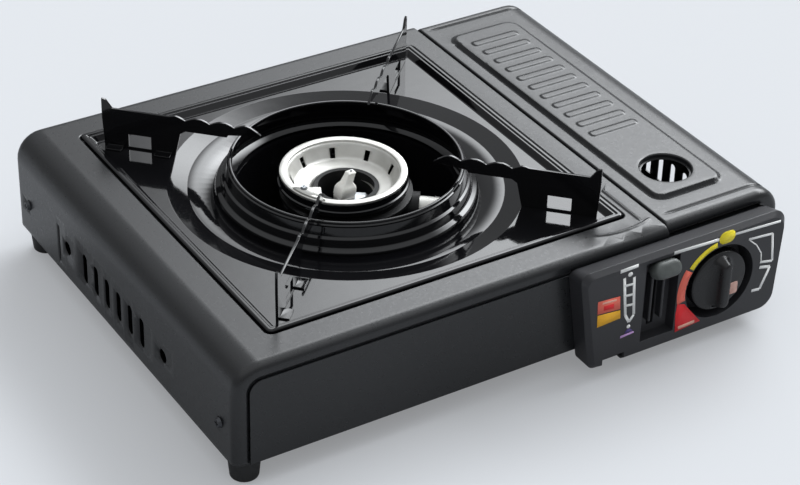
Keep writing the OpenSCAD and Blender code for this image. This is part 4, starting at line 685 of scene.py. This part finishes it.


# Pad-printed ink on the panel: thin and slightly chalky, in plain marks that say lock, flame and off. The first pale
# stroke is not ink but a painted highlight along the red flame's lower edge.
# The chalk is about 1 mm across. Each mark lies a hair above the one before, so that none share a plane.
marks = {
    "white": ("#f4f4f2",
              stroke(2.0, (83.4, 68.2), (113.4, 66.9)) + stroke(1.6, (124.4, 66.9), (155.6, 65.2))
              + stroke(2.2, (48.6, 67.9), (60.1, 68.2))
              + stroke(1.7, (51.6, 63.0), (54.4, 38.4), (57.2, 33.2), (60.0, 37.0), (58.0, 61.6))
              + stroke(1.5, (52.2, 57.8), (58.4, 57.2)) + stroke(1.5, (52.9, 51.2), (58.8, 50.5))
              + stroke(1.5, (53.6, 44.7), (59.4, 44.0))
              + [ring(1.5, 1.4, 1.4, 4, (55.3, 64.2)), ring(1.2, 1.2, 1.2, 4, (57.2, 30.3))]
              + stroke(1.5, (134.3, 60.2), (150.8, 58.7), (153.0, 40.4), (144.4, 42.2))
              + stroke(0.7, (135.3, 59.2), (140.4, 54.6), (144.3, 48.3), (145.0, 43.0))
              + stroke(1.8, (144.4, 38.8), (151.8, 37.0), (146.4, 24.0), (140.8, 24.6))),
    "yellow": ("#f4e02a", [ring(5.4, 3.9, 3.85, 8, (118.9, 66.8))] + arc_band(23.5, 26.8, 100, 145)),
    "coral": ("#ee6f5c", arc_band(23.2, 28.6, 148, 192) + [[(35.8, 45.3), (50.6, 43.9), (49.8, 52.3), (35.5, 53.4)]]),
    "red": ("#e8222a", [[(89.2, 33.4), (94.2, 31.9), (96.0, 29.4), (101.3, 22.9), (106.3, 16.8), (89.4, 15.1),
                         (88.6, 26.9)], [(39.6, 46.4), (46.4, 45.8), (46.2, 48.9), (39.6, 49.4)]]),
    # The first pale stroke is a painted highlight along the red flame's lower edge; the second is a pale line in the
    # coral patch.
    "pale": ("#f6b8a4", stroke(2.0, (91.4, 17.3), (102.4, 17.9)) + stroke(1.2, (38.6, 51.3), (47.6, 50.7))),
    "amber": ("#f9b827", [[(36.2, 36.9), (51.2, 37.8), (50.7, 43.2), (35.9, 44.6)]]),
    "lilac": ("#c9a0d8", [[(52.2, 24.2), (61.3, 25.0), (60.8, 26.2), (52.4, 25.8)]]),
    "violet": ("#4a3a78", [[(54.6, 26.3), (60.6, 26.6), (58.0, 29.0), (56.4, 28.9)]]),
}
level = 133.06
for name, (colour, outlines) in marks.items():
    ink, tree, where = new_finish(name + "_mark_colour")
    chalk = add(tree, "ShaderNodeTexNoise", {"Vector": where, "Scale": 1000, "Detail": 2})
    tone = add(tree, "ShaderNodeMapRange", {"Value": chalk, "To Min": 0.4, "To Max": 0.6})
    shader = add(tree, "ShaderNodeBsdfPrincipled", {"Base Color": linear(colour), "Roughness": tone, "IOR": 1.5})
    add(tree, "ShaderNodeOutputMaterial", {"Surface": shader})
    shapes = []
    for outline in outlines:
        flat = np.array(outline, float)
        area = np.sum(flat[:, 0] * np.roll(flat[:, 1], -1) - np.roll(flat[:, 0], -1) * flat[:, 1])
        flat = flat if area > 0 else flat[::-1]
        level += 0.003
        shapes.append((np.insert(flat, 1, -level, axis=1), [list(range(len(flat)))]))
    piece("panel_marks_" + name, joined(*shapes), ink, "case", wall=0.05)

# ---- Gas knob and pointer ----
# Moulded knob on the valve's spindle: a shallow disc in the panel's bowl with a blade to grip,
# and a pale insert low on the disc's right side that points at the setting.

# The knob's plastic is glossier than the housing, with a faint smear of handling.
knob_plastic, tree, where = new_finish("black_knob_plastic")
smear = add(tree, "ShaderNodeTexNoise", {"Vector": where, "Scale": 160, "Detail": 3})
satin = add(tree, "ShaderNodeMapRange", {"Value": smear, "From Min": 0.3, "From Max": 0.7,
                                         "To Min": 0.24, "To Max": 0.36})
shader = add(tree, "ShaderNodeBsdfPrincipled", {"Base Color": linear("#0e0e10"), "Roughness": satin, "IOR": 1.45})
add(tree, "ShaderNodeOutputMaterial", {"Surface": shader})

knob_rows = [(1.0, 11.6, 1.0, 139.7), (2.0, 12.8, 2.0, 139.6), (2.6, 13.5, 2.6, 139.2), (3.0, 14.0, 3.0, 138.4),
             (3.4, 14.6, 3.4, 137), (4.2, 15.3, 4.2, 135.2), (5.6, 15.9, 5.6, 133.9), (7.4, 16.3, 7.4, 133.2),
             (9.4, 16.6, 9.4, 132.9), (16.9, 17.0, 16.9, 132.8), (17.5, 132.7), (17.9, 132.4), (18.2, 131.9),
             (18.3, 131), (18.3, 127.4), (17.9, 127), (7.5, 127), (7.5, 120.6), (4.1, 120.6)]


def turned(points, faces):
    """A shape with its faces turned over, so that a stack laid from its far end back faces outwards."""
    return points, [face[::-1] for face in faces]


piece("knob_disc", turned(*upright(*stack(knob_rows, 14, cap_first=True, cap_last=True, at=knob_middle))),
      knob_plastic, "knob", ["gas_knob"], sharp=50)

# Pale pink plastic insert, matt and a little translucent.
insert_plastic, tree, where = new_finish("pale_pointer_plastic")
cast = add(tree, "ShaderNodeTexNoise", {"Vector": where, "Scale": 400, "Detail": 2})
tone = add(tree, "ShaderNodeValToRGB", {"Fac": cast}, stops=((0.3, "#c99a8c"), (0.7, "#dcb3a6")))
shader = add(tree, "ShaderNodeBsdfPrincipled", {"Base Color": tone, "Roughness": 0.4, "IOR": 1.5})
add(tree, "ShaderNodeOutputMaterial", {"Surface": shader})
pointer_rows = [(2.2, 3.0, 0.9, 133.35), (2.8, 3.6, 1.2, 133.2), (3.0, 3.8, 1.3, 132.9), (3.0, 3.8, 1.3, 131.2)]
pointer = stack(pointer_rows, 5, cap_first=True, cap_last=True, at=knob_middle + (10.2, -7.8))
piece("pointer_insert", turned(*upright(*pointer)), insert_plastic, "knob", ["knob_pointer"])

# ---- Lock lever ----
# Moulded lever on a plated shaft behind the panel's slot. Pressed down, it draws the cartridge into the
# inlet and bends the return spring's coils together.

# The lever's head is a greyer, drier plastic than the knob, rubbed by thumbs.
grey_plastic, tree, where = new_finish("rubbed_grey_plastic")
smear = add(tree, "ShaderNodeTexNoise", {"Vector": where, "Scale": 220, "Detail": 3})
tone = add(tree, "ShaderNodeValToRGB", {"Fac": smear}, stops=((0.3, "#4c504e"), (0.7, "#585c5a")))
shader = add(tree, "ShaderNodeBsdfPrincipled", {"Base Color": tone, "Roughness": 0.42, "IOR": 1.5})
add(tree, "ShaderNodeOutputMaterial", {"Surface": shader})


lever_x, lever_y, lever_z = 77, -104, 42


def raised_lever(points):
    """Turns the lever's own frame up by 30 degrees about its pivot: (side, up, out) becomes case X, Y and Z."""
    swing = np.radians(30)
    side, up, out = points.T
    return np.stack([lever_x + side, lever_y - out * np.cos(swing) + up * np.sin(swing),
                     lever_z + out * np.sin(swing) + up * np.cos(swing)], 1)


pad_rows = [(5.6, 2.0, 1.9, 40.0), (7.1, 3.4, 3.3, 39.8), (7.9, 4.3, 4.2, 39.0), (8.2, 4.8, 4.6, 37.7),
            (8.2, 4.9, 4.7, 36.0), (8.2, 4.9, 4.7, 32.0), (7.7, 4.4, 4.2, 31.2), (6.2, 3.0, 2.9, 30.9)]
pad_points, pad_faces = stack(pad_rows, 7, cap_first=True, cap_last=True)
pad_points += (0.8, 1.2, 0)
piece("lever_pad", turned(raised_lever(pad_points), pad_faces), grey_plastic, "lever", ["lock_lever"],
      sharp=50)
arm_points, arm_faces = stack([(1.3, 3.3, 0.3, 31.5), (1.3, 3.3, 0.3, 3)], 2, cap_first=True, cap_last=True)
hub_points, hub_faces = stack([(5.7, -1.5), (6, -1.2), (6, 1.2), (5.7, 1.5)], 8, cap_first=True, cap_last=True)
hub_points = hub_points[:, [2, 0, 1]] + (lever_x, lever_y, lever_z)
piece("lever_arm", joined(turned(raised_lever(arm_points), arm_faces), (hub_points, hub_faces)), knob_plastic,
      "lever", sharp=50)

# The return spring stands on its post under the arm and is pressed down by it.
return_spring = eased("lever_spring", zinc_plate, "case", 0.02, 1)
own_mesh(return_spring)

# ---- Feet, grommet and screws ----
# Moulded rubber feet screwed up into the base, a rubber ring round the wire in the partition, and blackened
# steel screws in the side walls.

# Rubber: nearly black, matt, greyed where it has dust. The dust is about 3 mm across.
rubber, tree, where = new_finish("moulded_rubber")
dust = add(tree, "ShaderNodeTexNoise", {"Vector": where, "Scale": 330, "Detail": 4})
tone = add(tree, "ShaderNodeValToRGB", {"Fac": dust}, stops=((0.35, "#131314"), (0.8, "#242425")))
shader = add(tree, "ShaderNodeBsdfPrincipled", {"Base Color": tone, "Roughness": 0.62, "IOR": 1.5})
add(tree, "ShaderNodeOutputMaterial", {"Surface": shader})
for place_name in ("front_left", "front_right", "back_left", "back_right"):
    eased("foot_" + place_name, rubber, "case", 0.5, 2)
refinish(rubber, "wire_grommet")

# Blackened steel screws: dark, with a faint oily sheen.
black_screw, tree, where = new_finish("blackened_steel")
oil = add(tree, "ShaderNodeTexNoise", {"Vector": where, "Scale": 900, "Detail": 2})
soft = add(tree, "ShaderNodeMapRange", {"Value": oil, "To Min": 0.3, "To Max": 0.5})
metal = add(tree, "ShaderNodeBsdfPrincipled", {"Base Color": linear("#4a4b4e"), "Metallic": 1.0, "Roughness": soft})
add(tree, "ShaderNodeOutputMaterial", {"Surface": metal})
refinish(black_screw, "case_screws")

# ---- Studio ----
# A pale seamless floor. The air is dim all round, with one broad soft source behind on the right,
# whose left edge fades where the pan mirrors it.

floor_mesh = bpy.data.meshes.new("studio_floor")
floor_half = 6.0  # metres
floor_mesh.from_pydata([(-floor_half, -floor_half, 0), (floor_half, -floor_half, 0), (floor_half, floor_half, 0),
                        (-floor_half, floor_half, 0)], [], [(0, 1, 2, 3)])
floor = bpy.data.objects.new("studio_floor", floor_mesh)
bpy.context.scene.collection.objects.link(floor)

# Pale paper: what the eye and the gloss see is partly its own pale tone, so the shadow stays light.
paper, tree, _ = new_finish("pale_paper")
ray = add(tree, "ShaderNodeLightPath")
shine = add(tree, "ShaderNodeMath", {0: ray.outputs["Is Glossy Ray"], 1: 0.06}, operation="MULTIPLY")
own = add(tree, "ShaderNodeMath", {0: ray.outputs["Is Camera Ray"], 1: 0.28, 2: shine}, operation="MULTIPLY_ADD")
shade = add(tree, "ShaderNodeBsdfDiffuse", {"Color": linear("#a9abae")})
pale = add(tree, "ShaderNodeEmission", {"Color": linear("#eef0f3"), "Strength": own})
both = add(tree, "ShaderNodeAddShader", {0: shade, 1: pale})
add(tree, "ShaderNodeOutputMaterial", {"Surface": both})
floor_mesh.materials.append(paper)

world = bpy.data.worlds.new("studio")
bpy.context.scene.world = world
world.use_nodes = True
tree = world.node_tree
tree.nodes.clear()
ray = add(tree, "ShaderNodeLightPath")
place = add(tree, "ShaderNodeTexCoord")
seen = place.outputs["Generated"]
way = add(tree, "ShaderNodeSeparateXYZ", {0: seen})
right_way = add(tree, "ShaderNodeVectorMath", {0: seen, 1: (0.84, -0.54, 0)}, operation="DOT_PRODUCT")
back_way = add(tree, "ShaderNodeVectorMath", {0: seen, 1: (0.54, 0.84, 0)}, operation="DOT_PRODUCT")
# The glow is the product of its edges (left, right, back, low and high) and a boost towards the right.
# Each row is a direction, the two places between which it changes, and the two strengths there.
edges = []
for along_way, first_at, last_at, first, last in (
        (right_way.outputs["Value"], -0.17, 0.08, 0, 1), (right_way.outputs["Value"], 0.95, 0.6, 0, 1),
        (back_way.outputs["Value"], 0.05, 0.35, 0, 1), (way.outputs["Z"], 0.32, 0.62, 0, 1),
        (way.outputs["Z"], 0.82, 0.63, 0, 1), (right_way.outputs["Value"], 0.06, 0.4, 1.0, 1.9),
        (way.outputs["Z"], 0.35, 0.85, 0.4, 1.0)):
    edges.append(add(tree, "ShaderNodeMapRange", {"Value": along_way, "From Min": first_at, "From Max": last_at,
                                                  "To Min": first, "To Max": last}, interpolation_type="SMOOTHSTEP"))
glow, air = edges[0], edges[-1]
for edge in edges[1:-1]:
    glow = add(tree, "ShaderNodeMath", {0: glow, 1: edge}, operation="MULTIPLY")
power = add(tree, "ShaderNodeMath", {0: glow, 1: 8.1, 2: air}, operation="MULTIPLY_ADD")
around = add(tree, "ShaderNodeBackground", {"Color": linear("#f0f3f6"), "Strength": power})
plain = add(tree, "ShaderNodeBackground", {"Color": linear("#eef1f4"), "Strength": 1.0})
mixed = add(tree, "ShaderNodeMixShader", {"Fac": ray.outputs["Is Camera Ray"], 1: around, 2: plain})
add(tree, "ShaderNodeOutputWorld", {"Surface": mixed})

camera_data = bpy.data.cameras.new("photo_camera")
camera_data.lens, camera_data.sensor_width = 105.0404, 36
camera_data.clip_end = 50
camera = bpy.data.objects.new("photo_camera", camera_data)
camera.location = (-0.58691, -0.91375, 0.74287)
camera.rotation_euler = np.radians((56.537336679, -1.423777181, -31.676283277))
bpy.context.scene.collection.objects.link(camera)
bpy.context.scene.camera = camera
bpy.context.scene.view_settings.view_transform = "Standard"
